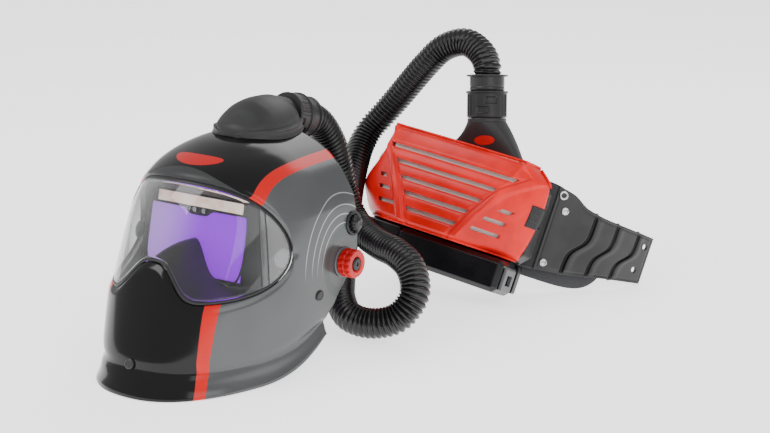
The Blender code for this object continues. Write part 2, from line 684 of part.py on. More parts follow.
def make_pivot_knobs(gear):
    inner = SHELL_HALF_WIDTH + 2.0
    for name, side in (("pivot_knob_left", 1), ("pivot_knob_right", -1)):
        lobes = 14
        outline = []
        for k in range(lobes * 2):
            radius = KNOB_RADIUS if k % 2 else KNOB_RADIUS - 1.2
            turn = math.pi * k / lobes
            outline.append((radius * math.cos(turn), radius * math.sin(turn)))
        knob = slab(name, outline, inner, inner + KNOB_THICKNESS, "knob_red", gear)
        aim(knob, (0, 0, 0), (side, 0, 0))
        cut(knob, rod(name + "_socket", STUD_RADIUS + GAP, inner - 5, inner + 8, None, knob, steps=16))
        rod(name + "_cap", 6.0, inner + KNOB_THICKNESS + GAP, inner + KNOB_THICKNESS + 1.5,
            "matte_black", gear, (0, 0, 0), (side, 0, 0), 14)


def make_ratchet(gear):
    z = BAND_REAR_Z
    rear = HEAD_REAR + GAP
    box("ratchet_box", (-22, rear, z - 15), (22, rear + 7, z + 15), "grey_plastic", gear, 2.0)
    outline = [((12 if k % 2 else 10.5) * math.cos(math.pi * k / 10),
                (12 if k % 2 else 10.5) * math.sin(math.pi * k / 10)) for k in range(20)]
    knob = slab("ratchet_knob", outline, GAP, 8, "grey_plastic", gear)
    aim(knob, (0, rear + 7, z), (0, 1, 0))


def make_shade_knob(helmet):
    at, out = on_shell(math.pi / 2, travel_at(140.0), 0.86)
    outline = [((9 if k % 2 else 8) * math.cos(math.pi * k / 12),
                (9 if k % 2 else 8) * math.sin(math.pi * k / 12)) for k in range(24)]
    knob = slab("shade_knob", outline, GAP * 2, 8, "matte_black", helmet)
    aim(knob, at, out)


def make_face_seal(helmet):
    rows = []
    for k in range(25):
        angle = -math.pi / 2 * 0.96 + math.pi * 0.96 * k / 24
        outer_low = shell_point(angle, travel_at(14.0), depth=SHELL_WALL + 2.0)
        outer_high = shell_point(angle, travel_at(26.0), depth=SHELL_WALL + 2.0)
        pull = Vector((0, SECTION_CENTRE_Y - 5, 0))
        inner_low = outer_low.lerp(Vector((pull.x, pull.y, outer_low.z)), 0.22)
        inner_high = outer_low.lerp(Vector((pull.x, pull.y, outer_low.z)), 0.20)
        inner_high.z += 3.0
        rows.append([outer_low, outer_high, inner_high, inner_low])
    surface("face_seal", rows, "fabric", helmet, ring=True, caps=True)


# ================================ blower ==========================================================
def band_x(z):
    share = (z - COVER_BOTTOM) / (COVER_TOP - COVER_BOTTOM)
    return BAND_BOTTOM_X + (BAND_TOP_X - BAND_BOTTOM_X) * share ** 0.8


def cover_depth(x, z):
    """How far back the cover's face is at a point of its front view."""
    edge = smooth_table(COVER_OUTLINE, 1 if x < 0 else 2, z)
    inner = band_x(z)
    high = (z - COVER_BOTTOM) / (COVER_TOP - COVER_BOTTOM)
    flat = 7.0 * high ** 3 + 6.0 * (min(abs(x), inner) / BAND_TOP_X) ** 2 * high
    if abs(x) <= inner:
        return flat
    share = min((abs(x) - inner) / (edge - inner), 1.0)
    return flat + (COVER_DEPTH - flat) * (0.72 * share + 0.28 * share ** 4)


def cover_solid(name, wall, back, finish, blower):
    """The space inside the cover's face; a wall above 0 shrinks it, and back is how deep it runs."""
    columns = [-1.0, -0.9, -0.78, -0.62, -0.45, -0.25, 0.0, 0.25, 0.45, 0.62, 0.78, 0.9, 1.0]
    heights = [COVER_BOTTOM, COVER_BOTTOM + 1.5, -40.0, -18.0, 8.0, 32.0, COVER_TOP - 4, COVER_TOP]
    middle = (COVER_TOP + COVER_BOTTOM) / 2
    half = (COVER_TOP - COVER_BOTTOM) / 2
    rows = []
    for k, z in enumerate(heights):
        row = []
        level = middle + (z - middle) * (half - wall) / half
        for u in columns:
            edge = smooth_table(COVER_OUTLINE, 1 if u < 0 else 2, z)
            depth = cover_depth(u * edge, z) + wall
            if k == 0:
                depth = max(depth, 4.0 + wall)
            row.append((u * (edge - wall), min(depth, back), level))
        rows.append([(row[0][0], back, level)] + row + [(row[-1][0], back, level)])
    rows.insert(0, [(x, back, z) for x, _, z in rows[0]])
    rows.append([(x, back, z) for x, _, z in rows[-1]])
    return surface(name, rows, finish, blower, fill=True)


def make_cover(blower):
    cover = cover_solid("filter_cover", 0.0, COVER_DEPTH, "cover_red", blower)
    cut(cover, cover_solid("cover_hollow", COVER_WALL, COVER_DEPTH + 8, None, blower))
    half = SLOT_HEIGHT / 2
    slots = [(-band_x(z) + 9, band_x(z) - 9, z) for z in SLOT_HEIGHTS]
    for z in SIDE_SLOT_HEIGHTS:
        slots.append((-smooth_table(COVER_OUTLINE, 1, z) + 12, -band_x(z) - 8, z))
        slots.append((band_x(z) + 8, smooth_table(COVER_OUTLINE, 2, z) - 12, z))
    for k, (low, high, z) in enumerate(slots):
        cut(cover, box("louvre_%02d" % k, (low, -10, z - half), (high, 44, z + half), None, blower, 0))
    return cover


def make_housing(blower):
    wide = HOUSING_HALF_WIDTH
    front = COVER_DEPTH + GAP
    outline = [(-wide, -46), (-wide + 12, HOUSING_BOTTOM), (wide - 12, HOUSING_BOTTOM), (wide, -46),
               (wide, 30), (wide - 18, HOUSING_TOP), (-wide + 18, HOUSING_TOP), (-wide, 30)]
    upright = (math.pi / 2, 0, 0)
    housing = slab("blower_housing", outline, -HOUSING_BACK_Y, -front, "matte_black", blower, upright)
    wall = HOUSING_WALL
    inner = [(x - math.copysign(wall, x), z - math.copysign(wall, z)) for x, z in outline]
    cut(housing, slab("housing_hollow", inner, -HOUSING_BACK_Y + wall, -front + 10, None, blower,
                      upright))
    x, y, z = OUTLET_AT
    cut(housing, box("outlet_slot", (x - 46, y - 7, z - 12), (x + 46, y + 7, z + 12), None, blower, 0))
    latch_y = (HOUSING_BACK_Y - 21.0, HOUSING_BACK_Y - 7.0)
    cut(housing, box("latch_slot", (wide - 8, latch_y[0], LATCH_Z[0]), (wide + 8, latch_y[1], LATCH_Z[1]), None,
                     blower, 0))
    lower = [(-wide + 4, 22), (BATTERY_X[0] - GAP, 22), (BATTERY_X[0] - GAP, BATTERY_Y[1] + GAP),
             (BATTERY_X[1], BATTERY_Y[1] + GAP), (BATTERY_X[1], HOUSING_BACK_Y),
             (-wide + 4, HOUSING_BACK_Y)]
    slab("lower_housing", lower, LOWER_BOTTOM, HOUSING_BOTTOM - GAP, "matte_black", blower)
    box("cover_latch", (wide - 5, latch_y[0] + GAP, LATCH_Z[0] + GAP),
        (wide + 3, latch_y[1] - GAP, LATCH_Z[1] - GAP), "grey_plastic", blower, 0.6)


def make_insides(blower):
    x, z = FILTER_HALF
    box("spark_arrestor", (-x, FILTER_FRONT_Y - 2.0, -z), (x, FILTER_FRONT_Y - GAP, z), "steel", blower, 0)
    box("particle_filter", (-x, FILTER_FRONT_Y, -z), (x, INLET_PLATE_Y - 3.4, z), "paper", blower, 1.0)
    seal = box("filter_seal", (-x, INLET_PLATE_Y - 3.1, -z), (x, INLET_PLATE_Y - GAP, z), "hose_black",
               blower, 0)
    cut(seal, box("seal_opening", (-x + 12, 0, -z + 10), (x - 12, 90, z - 10), None, blower, 0))
    wide = HOUSING_HALF_WIDTH - HOUSING_WALL - 9
    plate = box("inlet_plate", (-wide, INLET_PLATE_Y, -38), (wide, INLET_PLATE_Y + 1.5, 38),
                "grey_plastic", blower, 0)
    fan_x, fan_z = FAN_AT
    back = (0, 1, 0)
    cut(plate, rod("fan_inlet", FAN_INLET_RADIUS, 0, 90, None, blower, (fan_x, 0, fan_z), back))
    start = INLET_PLATE_Y + 1.5 + GAP
    end = HOUSING_BACK_Y - HOUSING_WALL - GAP
    volute = sleeve("fan_volute", VOLUTE_RADIUS, VOLUTE_RADIUS - VOLUTE_WALL, start, end, "grey_plastic", blower,
                    (fan_x, 0, fan_z), back, 28)
    cut(volute, box("volute_outlet", (fan_x + 5, start - 5, fan_z + 25),
                    (fan_x + 36, end + 5, fan_z + 60), None, blower, 0))
    outline = []
    for k in range(FAN_BLADES):
        turn = 2 * math.pi * k / FAN_BLADES
        for radius, shift in ((12, -0.12), (FAN_RADIUS, 0.02), (FAN_RADIUS, 0.10), (12, 0.10)):
            outline.append((radius * math.cos(turn + shift), radius * math.sin(turn + shift)))
    impeller = slab("impeller", outline, -(start + 9), -(start + 1), "grey_plastic", blower)
    aim(impeller, (fan_x, 0, fan_z), (0, -1, 0))
    motor = [(0, end), (MOTOR_RADIUS, end), (MOTOR_RADIUS, start + 10), (2.5, start + 10),
             (2.5, start + 3), (0, start + 3)]
    turned("fan_motor", motor, "steel", blower, (fan_x, 0, fan_z), back, 18)
    cut(impeller, rod("impeller_bore", 2.8, -(start + 20), -(start - 10), None, impeller, steps=12))
    box("control_board", (40, end - 2, -38), (88, end, 28), "board_green", blower, 0)


def outlet_ring(half_x, half_y, power, along, share):
    """One ring of the outlet: squarish at its foot, round and square to the outlet's axis above."""
    axis = Vector(OUTLET_AXIS).normalized()
    tilt = Vector((0, 0, 1)).rotation_difference(axis).to_matrix()
    level = Matrix.Identity(3).lerp(tilt, share)
    middle = Vector(OUTLET_AT) + axis * along
    if share == 0:
        middle = Vector(OUTLET_AT) + Vector((0, 0, along))
    ring = []
    for j in range(OUTLET_SIDES):
        turn = 2 * math.pi * j / OUTLET_SIDES
        c, s = abs(math.cos(turn)), abs(math.sin(turn))
        reach = ((c / half_x) ** power + (s / half_y) ** power) ** (-1 / power)
        ring.append(middle + level @ Vector((reach * math.cos(turn), reach * math.sin(turn), 0)))
    return ring


def make_outlet(blower):
    axis = Vector(OUTLET_AXIS).normalized()
    origin = Vector(OUTLET_AT)
    half_x, half_y = OUTLET_HALF
    steps = 5
    outside, inside = [], []
    for k in range(steps + 1):
        share = k / steps
        ease = share ** 0.7
        power = 5 - 3 * ease
        along = OUTLET_CONE * share
        outside.append(outlet_ring(half_x + (COUPLING_RADIUS - half_x) * ease,
                                   half_y + (COUPLING_RADIUS - half_y) * ease, power, along, share))
        inside.append(outlet_ring(half_x - 5 + (SPIGOT_BORE - half_x + 5) * ease,
                                  half_y - 3 + (SPIGOT_BORE - half_y + 3) * ease, power, along, share))
    shoulder = BLOWER_COUPLING[0] - GAP
    for radius, along in ((COUPLING_RADIUS, shoulder), (SPIGOT_RADIUS, shoulder),
                          (SPIGOT_RADIUS, OUTLET_SPIGOT_END), (SPIGOT_BORE, OUTLET_SPIGOT_END)):
        outside.append(outlet_ring(radius, radius, 2, along, 1))
    rows = outside + list(reversed(inside)) + [outside[0]]
    surface("outlet_duct", rows, "matte_black", blower, ring=True, closed=True)
    low, high = BLOWER_COUPLING
    inner = SPIGOT_RADIUS + GAP
    outer = COUPLING_RADIUS + 0.5
    profile = [(outer, high), (outer, low), (inner, low), (inner, high)]
    coupling = turned("outlet_coupling", profile, "matte_black", blower, origin, axis, 24, True)
    for k, turn in enumerate((-1.9, -0.8, 1.2)):
        slot = box("bayonet_slot_%d" % k, (8, -5, low + 6 + 7 * k), (40, 5, low + 11 + 7 * k), None,
                   coupling, 0)
        slot.rotation_euler = (0, 0, turn)
        cut(coupling, slot)
    cuff = [(CUFF_RADIUS + 4, BLOWER_CUFF_END), (CUFF_RADIUS + 4, BLOWER_CUFF_END - 1.5),
            (CUFF_RADIUS, BLOWER_CUFF_END - 2.5), (CUFF_RADIUS, high + GAP), (inner, high + GAP),
            (inner, BLOWER_CUFF_END)]
    turned("hose_cuff_blower", cuff, "hose_black", blower, origin, axis, 20, True)
    return origin, axis


def make_controls(blower):
    top = HOUSING_TOP + GAP
    x, y = -70.0, HOUSING_BACK_Y - 12.0
    panel = box("control_panel", (x - 16, y - 9, top), (x + 16, y + 9, top + 1.6), "grey_plastic",
                blower, 0)
    cut(panel, rod("button_hole", 5.2, top - 5, top + 5, None, blower, (x - 7, y, 0), steps=16))
    rod("power_button", 4.8, top + BUTTON_TRAVEL, top + BUTTON_TRAVEL + 3.2, "knob_red", blower,
        (x - 7, y, 0), steps=16)
    rod("status_light", 1.8, top + 1.6 + GAP, top + 2.6, "clear", blower, (x + 8, y, 0), steps=10)


def make_battery(blower):
    low = (BATTERY_X[0] + GAP, BATTERY_Y[0], BATTERY_Z[0])
    high = (BATTERY_X[1], BATTERY_Y[1], BATTERY_Z[1])
    box("battery_pack", low, high, "matte_black", blower, 5.0)
    middle_y = (BATTERY_Y[0] + BATTERY_Y[1]) / 2 - 3
    hinge = empty("battery_latch_hinge", (BATTERY_X[1] + GAP + 1.5, middle_y, LATCH_HINGE_Z), (0, 0, 0),
                  blower)
    half, length = LATCH_WIDTH / 2, LATCH_LENGTH
    latch = box("battery_latch", (-1.5, -half, 1.2 - length), (2.5, half, 1.2), "grey_plastic", hinge, 0.6)
    cut(latch, box("latch_window", (-9, -half / 2, 8 - length), (9, half / 2, -6), None, hinge, 0))


# ================================ belt ============================================================
def belt_point(angle, z, radius):
    return (radius * math.sin(angle), BELT_CENTRE_Y - radius * math.cos(angle), z)


def make_belt(blower):
    rows = []
    for k in range(3):
        z = (-58.0, -4.0, 48.0)[k]
        rows.append([belt_point(PLATE_ANGLE * j / 8, z, BELT_RADIUS) for j in range(-8, 9)])
    thicken(surface("belt_plate", rows, "matte_black", blower), BELT_THICKNESS)
    rows = []
    for z in (-68.0, -50.0, 20.0, 40.0):
        inset = 0.03 if z in (-68.0, 40.0) else 0.0
        reach = PLATE_ANGLE + math.radians(6) - inset
        rows.append([belt_point(reach * j / 8, z, BELT_RADIUS - BELT_THICKNESS - 2) for j in range(-8, 9)])
    thicken(surface("lumbar_pad", rows, "fabric", blower), 12.0)
    radius = BELT_RADIUS + GAP + BELT_THICKNESS
    for name, side in (("belt_wing_left", 1), ("belt_wing_right", -1)):
        rows = []
        for level in (0.0, 0.33, 0.67, 1.0):
            row = []
            for k in range(11):
                share = k / 10
                angle = WING_ANGLES[0] + (WING_ANGLES[1] - WING_ANGLES[0]) * share
                low = smooth_table(WING_BOTTOM, 1, share)
                high = smooth_table(WING_TOP, 1, share)
                row.append(belt_point(side * angle, low + (high - low) * level, radius))
            if side < 0:
                row.reverse()
            rows.append(row)
        wing = thicken(surface(name, rows, "matte_black", blower), BELT_THICKNESS)
        for k, (degrees, z) in enumerate(((63.5, 12.0), (62.0, -18.0))):
            angle = side * math.radians(degrees)
            out = (math.sin(angle), -math.cos(angle), 0)
            cut(wing, rod("%s_hole_%d" % (name, k), BELT_HOLE_RADIUS, -15, 15, None, blower,
                          belt_point(angle, z, radius), out, 24))
        label = name.rsplit("_", 1)[1]
        dome = [(0, 2.0), (RIVET_RADIUS * 0.7, 1.5), (RIVET_RADIUS, GAP), (0, GAP)]
        for place, degrees, z in (("upper", 32.5, 20.0), ("lower", 31.0, -45.0)):
            angle = side * math.radians(degrees)
            out = (math.sin(angle), -math.cos(angle), 0)
            turned("rivet_%s_%s" % (place, label), dome, "steel", blower,
                   belt_point(angle, z, radius + 0.05), out, 12)
        angle = side * math.radians(30.5)
        out = (math.sin(angle), -math.cos(angle), 0)
        sleeve("eyelet_" + label, 5.0, 2.6, GAP, 1.6, "steel", blower,
               belt_point(angle, 37.0, radius + 0.05), out, 14)


# ================================ hose ============================================================
def smooth_route(points, spacing):
    """Even points along a smooth curve through the given ones (centripetal Catmull-Rom)."""
    ends = [points[0] * 2 - points[1]] + points + [points[-1] * 2 - points[-2]]
    curve = []
    for a, b, c, d in zip(ends, ends[1:], ends[2:], ends[3:]):
        ab, bc, cd = ((q - p).length ** 0.5 for p, q in ((a, b), (b, c), (c, d)))
        leave = ((b - a) / ab - (c - a) / (ab + bc) + (c - b) / bc) * bc
        arrive = ((c - b) / bc - (d - b) / (bc + cd) + (d - c) / cd) * bc
        for k in range(12):
            f = k / 12
            curve.append(b * (2 * f ** 3 - 3 * f ** 2 + 1) + leave * (f ** 3 - 2 * f ** 2 + f)
                         + c * (3 * f ** 2 - 2 * f ** 3) + arrive * (f ** 3 - f ** 2))
    curve.append(points[-1])
    total = sum((q - p).length for p, q in zip(curve, curve[1:]))
    count = round(total / spacing)
    even, travelled, target = [curve[0]], 0.0, total / count
    for p, q in zip(curve, curve[1:]):
        step = (q - p).length
        while len(even) < count and travelled + step >= target * len(even):
            even.append(p.lerp(q, (target * len(even) - travelled) / step))
        travelled += step
    return even + [curve[-1]]


def make_hose(assembly, blower_matrix, outlet_origin, outlet_axis):
    neck_axis = Vector((0, math.cos(NECK_DROP), -math.sin(NECK_DROP)))
    start = Vector(NECK_AT) + neck_axis * (HELMET_CUFF_END + GAP)
    out = blower_matrix.to_3x3() @ outlet_axis
    base = blower_matrix.to_3x3() @ outlet_origin + Vector(BLOWER_AT)
    end = base + out * (BLOWER_CUFF_END + GAP)
    points = [start, start + neck_axis * 9] + [Vector(p) for p in HOSE_ROUTE] + [end + out * 9, end]
    data = bpy.data.curves.new("breathing_hose", "CURVE")
    data.dimensions = "3D"
    data.bevel_depth = HOSE_RADIUS * MM
    data.bevel_resolution = 3
    data.use_fill_caps = True
    route = smooth_route(points, 22.0)
    spline = data.splines.new("POLY")
    spline.points.add(len(route) - 1)
    for point, place in zip(spline.points, route):
        point.co = (*(place * MM), 1)
    return add("breathing_hose", data, "hose_black", assembly)


clear_scene()
PARTS = collection("powered_air_respirator")
CUTTERS = collection("cutters", hidden=True)
ORIGIN = (-56.7, -192.8, 1.15)  # puts the origin under the middle of the whole, on the floor
assembly = empty("respirator", ORIGIN, (0, 0, 0), None)
blower = empty("blower", BLOWER_AT, BLOWER_TURN, assembly)
make_shell(assembly)
make_window(assembly)
make_filter(assembly)
make_small_helmet_parts(assembly)
make_duct(assembly)
make_helmet_coupling(assembly)
headgear = make_headgear(assembly)
make_side_arms(headgear)
make_pivot_knobs(headgear)
make_ratchet(headgear)
make_shade_knob(assembly)
make_face_seal(assembly)
make_cover(blower)
make_housing(blower)
make_insides(blower)
outlet_origin, outlet_axis = make_outlet(blower)
make_controls(blower)
make_battery(blower)
make_belt(blower)
blower_matrix = Euler(BLOWER_TURN, "YXZ").to_matrix().to_4x4()
make_hose(assembly, blower_matrix, outlet_origin, outlet_axis)
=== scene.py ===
# %% [markdown]
# # A powered air respirator, surface by surface
# The real object is a welding helmet with a clear curved cover lens, a ribbed breathing hose and a
# blower worn on the belt. The frame that is loaded here holds its real solids and its joints. This
# lesson gives it the surfaces that the eye sees, each worked out from a formula on a grid of points.

# %% Load the frame and keep its box
import math

import bmesh
import bpy
import numpy as np
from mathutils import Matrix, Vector


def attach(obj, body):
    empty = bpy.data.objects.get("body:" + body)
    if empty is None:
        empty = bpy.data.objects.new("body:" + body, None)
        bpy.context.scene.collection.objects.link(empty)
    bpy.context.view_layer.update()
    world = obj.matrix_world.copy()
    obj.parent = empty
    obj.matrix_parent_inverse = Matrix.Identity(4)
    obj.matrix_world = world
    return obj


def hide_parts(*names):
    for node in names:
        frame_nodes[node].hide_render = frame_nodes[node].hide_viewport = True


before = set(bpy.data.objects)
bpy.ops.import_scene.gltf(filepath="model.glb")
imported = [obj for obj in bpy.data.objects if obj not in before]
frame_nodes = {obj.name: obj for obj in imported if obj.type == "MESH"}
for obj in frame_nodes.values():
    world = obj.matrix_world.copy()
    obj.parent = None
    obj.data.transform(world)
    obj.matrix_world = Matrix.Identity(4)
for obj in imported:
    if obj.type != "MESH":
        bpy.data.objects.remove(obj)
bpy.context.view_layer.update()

# %% [markdown]
# ## Two frames of measure
# The helmet and the blower are each easiest to describe in millimetres in a frame of their own. The
# helmet's frame stands upright. The blower leans back on its belt plate, so its frame is turned. Both
# are turned into metres in one place, and nowhere else.

# %% The helmet's frame and the blower's frame
HELMET_ORIGIN = np.array([-56.7, -192.8, 1.15])
BLOWER_ORIGIN = HELMET_ORIGIN + np.array([75.4, 318.2, 131.3])


def turn_about(axis, degrees):
    """Rotation matrix about X, Y or Z by an angle."""
    c, s = math.cos(math.radians(degrees)), math.sin(math.radians(degrees))
    others = [k for k in range(3) if k != axis]
    matrix = np.eye(3)
    matrix[others[0], others[0]] = matrix[others[1], others[1]] = c
    matrix[others[1], others[0]] = s if axis != 1 else -s
    matrix[others[0], others[1]] = -s if axis != 1 else s
    return matrix


BLOWER_TURN = turn_about(2, 5.84) @ turn_about(0, -22.65) @ turn_about(1, 8.97)


def on_helmet(points):
    """Helmet millimetres to metres in the row frame."""
    return (np.asarray(points, float) + HELMET_ORIGIN) * 0.001


def on_blower(points):
    """Blower millimetres to metres in the row frame."""
    return (np.asarray(points, float) @ BLOWER_TURN.T + BLOWER_ORIGIN) * 0.001


# %% [markdown]
# ## The camera
# A long lens from the front left, a little above, is how such a set is shown: the window, the side of
# the helmet and the face of the blower are all in view.

# %% Camera
AZIMUTH, ELEVATION = math.radians(35.0), math.radians(15.0)
look = Vector((-math.sin(AZIMUTH) * math.cos(ELEVATION), math.cos(AZIMUTH) * math.cos(ELEVATION),
               -math.sin(ELEVATION)))
camera_data = bpy.data.cameras.new("camera")
camera_data.sensor_width = 36.0
camera_data.lens = 36.0 * 1600 / 770
camera = bpy.data.objects.new("camera", camera_data)
bpy.context.scene.collection.objects.link(camera)
camera.location = Vector(tuple(on_helmet((1048.0, -1181.0, 573.0))))
camera.rotation_mode = "QUATERNION"
camera.rotation_quaternion = look.to_track_quat("-Z", "Y")
bpy.context.scene.camera = camera
print("camera at", tuple(camera.location))

# %% [markdown]
# ## Grids of points
# Every new surface is a grid: rows of points, joined by quads. The faces follow from the numbers of
# rows and columns alone, so they are worked out as whole arrays. A wrapped grid joins its last column
# to its first, as on a tube.


# %% From a grid to a mesh
def grid_faces(rows, columns, wrap_rows=False, wrap_columns=False):
    """Quads of a grid: each joins a point, its right neighbour, and the two above them."""
    i = np.arange(rows if wrap_rows else rows - 1)[:, None]
    j = np.arange(columns if wrap_columns else columns - 1)[None, :]
    up, right = (i + 1) % rows, (j + 1) % columns
    quads = [i * columns + j, i * columns + right, up * columns + right, up * columns + j]
    return np.stack(quads, -1).reshape(-1, 4)


def piece(name, grid, finish, body, wrap_rows=False, wrap_columns=False, keep=None, fields=None,
          caps=False, sharp=40.0, closed=False):
    """A named mesh from a grid of points in metres, riding on a body.

    keep says which faces stay, fields are numbers kept per point for the material, caps fills the
    end rows, and closed has the faces turned outwards.
    """
    rows, columns = grid.shape[:2]
    faces = grid_faces(rows, columns, wrap_rows, wrap_columns)
    if keep is not None:
        faces = faces[keep.reshape(-1)]
    mesh = bpy.data.meshes.new(name)
    mesh.from_pydata(grid.reshape(-1, 3), [], faces)
    for field, values in (fields or {}).items():
        attribute = mesh.attributes.new(field, "FLOAT", "POINT")
        attribute.data.foreach_set("value", np.asarray(values, np.float32).reshape(-1))
    bm = bmesh.new()
    bm.from_mesh(mesh)
    if caps:
        bm.verts.ensure_lookup_table()
        bm.faces.new([bm.verts[k] for k in range(columns)][::-1])
        bm.faces.new([bm.verts[(rows - 1) * columns + k] for k in range(columns)])
    bmesh.ops.remove_doubles(bm, verts=bm.verts, dist=1e-5)
    loose = [v for v in bm.verts if not v.link_faces]
    bmesh.ops.delete(bm, geom=loose, context="VERTS")
    if closed or caps:
        bmesh.ops.recalc_face_normals(bm, faces=bm.faces)
    bm.to_mesh(mesh)
    bm.free()
    mesh.shade_smooth()
    mesh.set_sharp_from_angle(angle=math.radians(sharp))
    mesh.materials.append(finish)
    thing = bpy.data.objects.new(name, mesh)
    bpy.context.scene.collection.objects.link(thing)
    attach(thing, body)
    return thing


def wall(thing, millimetres, offset=-1.0):
    """Gives an open surface its thickness."""
    solid = thing.modifiers.new("wall", "SOLIDIFY")
    solid.thickness = millimetres * 0.001
    solid.offset = offset
    return thing


def soften(thing, millimetres, segments=2, angle=30.0):
    """Rounds the edges of a piece or of a solid of the frame."""
    weld = thing.modifiers.new("weld", "WELD")
    weld.merge_threshold = 0.00001
    bevel = thing.modifiers.new("edges", "BEVEL")
    bevel.width = millimetres * 0.001
    bevel.segments = segments
    bevel.limit_method = "ANGLE"
    bevel.angle_limit = math.radians(angle)
    bevel.use_clamp_overlap = True
    bevel.harden_normals = True
    return thing


# %% [markdown]
# ## Writing a material as an expression
# A finish is easier to read as arithmetic than as a picture of boxes and wires. The small class below
# wraps one socket. Adding or multiplying two of them adds the Math node that does it.


# %% A socket that does arithmetic
class Reading:
    """A number that changes over a surface."""

    def __init__(self, finish, socket):
        self.finish = finish
        self.socket = socket

    def join(self, operation, *values):
        return self.finish.join(operation, *values)

    def __add__(self, other):
        return self.join("ADD", self, other)

    def __radd__(self, other):
        return self.join("ADD", other, self)

    def __sub__(self, other):
        return self.join("SUBTRACT", self, other)

    def __rsub__(self, other):
        return self.join("SUBTRACT", other, self)

    def __mul__(self, other):
        return self.join("MULTIPLY", self, other)

    def __rmul__(self, other):
        return self.join("MULTIPLY", other, self)

    def __truediv__(self, other):
        return self.join("DIVIDE", self, other)

    def __pow__(self, other):
        return self.join("POWER", self, other)


class Finish:
    """One material and its nodes."""

    def __init__(self, name, roughness=0.5, metallic=0.0, coat=0.0, **settings):
        self.material = bpy.data.materials.new(name)
        self.material.use_nodes = True
        self.tree = self.material.node_tree
        self.shader = self.tree.nodes["Principled BSDF"]
        self.put("Roughness", roughness)
        self.put("Metallic", metallic)
        self.put("Coat Weight", coat)
        for socket, value in settings.items():
            self.put(socket.replace("_", " "), value)

    def join(self, operation, *values):
        """A Math node."""
        return self.node("ShaderNodeMath", {"operation": operation}, dict(enumerate(values)))

    def put(self, socket, value):
        """Sets or links one of the shader's own sockets."""
        target = self.shader.inputs[socket]
        if isinstance(value, Reading):
            self.tree.links.new(value.socket, target)
        else:
            target.default_value = value
        return self

    def node(self, kind, settings, inputs, output=0):
        """Any node: its settings first, then the values or links of its sockets."""
        made = self.tree.nodes.new(kind)
        for name, value in settings.items():
            if name == "stops":
                ramp = made.color_ramp
                while len(ramp.elements) < len(value):
                    ramp.elements.new(0.5)
                for element, (position, colour) in zip(ramp.elements, value):
                    element.position = position
                    element.color = colour
            else:
                setattr(made, name, value)
        for name, value in inputs.items():
            if isinstance(value, Reading):
                self.tree.links.new(value.socket, made.inputs[name])
            else:
                made.inputs[name].default_value = value
        return Reading(self, made.outputs[output])

    def where(self, scale=(1.0, 1.0, 1.0), turn=(0.0, 0.0, 0.0)):
        """Object coordinates, stretched or turned by a Mapping node."""
        place = self.node("ShaderNodeTexCoord", {}, {}, "Object")
        return self.node("ShaderNodeMapping", {}, {"Vector": place, "Scale": scale, "Rotation": turn})

    def noise(self, scale, detail=3.0, vector=None):
        inputs = {"Vector": vector or self.where(), "Scale": scale, "Detail": detail}
        return self.node("ShaderNodeTexNoise", {}, inputs, "Fac")

    def stored(self, name):
        """A number kept on the mesh's points."""
        return self.node("ShaderNodeAttribute", {"attribute_name": name}, {}, "Fac")

    def step(self, reading, low, high):
        """0 below low, 1 above high, and a soft edge between."""
        inputs = {"Value": reading, "From Min": low, "From Max": high}
        return self.node("ShaderNodeMapRange", {"interpolation_type": "SMOOTHSTEP"}, inputs)

    def blend(self, first, second, share):
        """A colour between two colours."""
        inputs = {"Factor": share, "A": rgba(first), "B": rgba(second)}
        made = self.tree.nodes.new("ShaderNodeMix")
        made.data_type = "RGBA"
        for name, value in inputs.items():
            socket = next(s for s in made.inputs if s.name == name and s.enabled)
            if isinstance(value, Reading):
                self.tree.links.new(value.socket, socket)
            else:
                socket.default_value = value
        return Reading(self, next(s for s in made.outputs if s.enabled))

    def relief(self, height, millimetres, strength=1.0):
        """Links a bump, whose height is given as a reading from 0 to 1."""
        inputs = {"Strength": strength, "Distance": millimetres * 0.001, "Height": height}
        return self.put("Normal", self.node("ShaderNodeBump", {}, inputs))


def rgba(colour):
    return colour if isinstance(colour, Reading) else (*colour, 1.0)


# %% [markdown]
# ## Plastics, rubber and steel
# Moulded plastic is never one flat value. Its gloss wanders a little where hands and cloths have been,
# and a matt part carries a fine grain etched into the tool. Both are noise: one broad, one fine.


# %% A moulded plastic
def plastic(name, colour, roughness, grain=0.0, coat=0.0, drift=0.06, grain_scale=2600.0, **settings):
    """Colour and gloss drift with a broad noise, and a fine noise is the moulded grain."""
    made = Finish(name, roughness, 0.0, coat, **settings)
    broad = made.noise(28.0)
    darker = tuple(c * 0.86 for c in colour)
    lighter = tuple(min(c * 1.1 + 0.002, 1.0) for c in colour)
    made.put("Base Color", made.blend(darker, lighter, made.step(broad, 0.35, 0.65)))
    made.put("Roughness", (broad - 0.5) * drift + roughness)
    if grain:
        made.relief(made.noise(grain_scale, 2.0), grain, 0.35)
    return made


SATIN_BLACK = plastic("satin_black", (0.016, 0.016, 0.017), 0.40, 0.05, Specular_IOR_Level=0.4).material
DUCT_GREY = plastic("duct_grey", (0.022, 0.022, 0.023), 0.50, 0.07, Specular_IOR_Level=0.4).material
GLOSS_BLACK = plastic("gloss_black", (0.006, 0.006, 0.007), 0.18, Specular_IOR_Level=0.4).material
BELT_BLACK = plastic("belt_black", (0.016, 0.016, 0.017), 0.38, 0.06, Specular_IOR_Level=0.45).material
KNOB_RED = plastic("knob_red", (0.56, 0.004, 0.006), 0.34, 0.03, Specular_IOR_Level=0.35).material
COVER_RED = plastic("cover_red", (0.78, 0.004, 0.003), 0.30, 0.02, Specular_IOR_Level=0.28).material
GEAR_GREY = plastic("gear_grey", (0.060, 0.060, 0.064), 0.5, 0.05).material
SMOKE_GREY = plastic("smoke_grey", (0.10, 0.10, 0.105), 0.45, 0.05).material
RUBBER = plastic("rubber", (0.014, 0.014, 0.015), 0.38, 0.04).material
STEEL = plastic("steel", (0.62, 0.62, 0.64), 0.24, 0.02).put("Metallic", 1.0).material
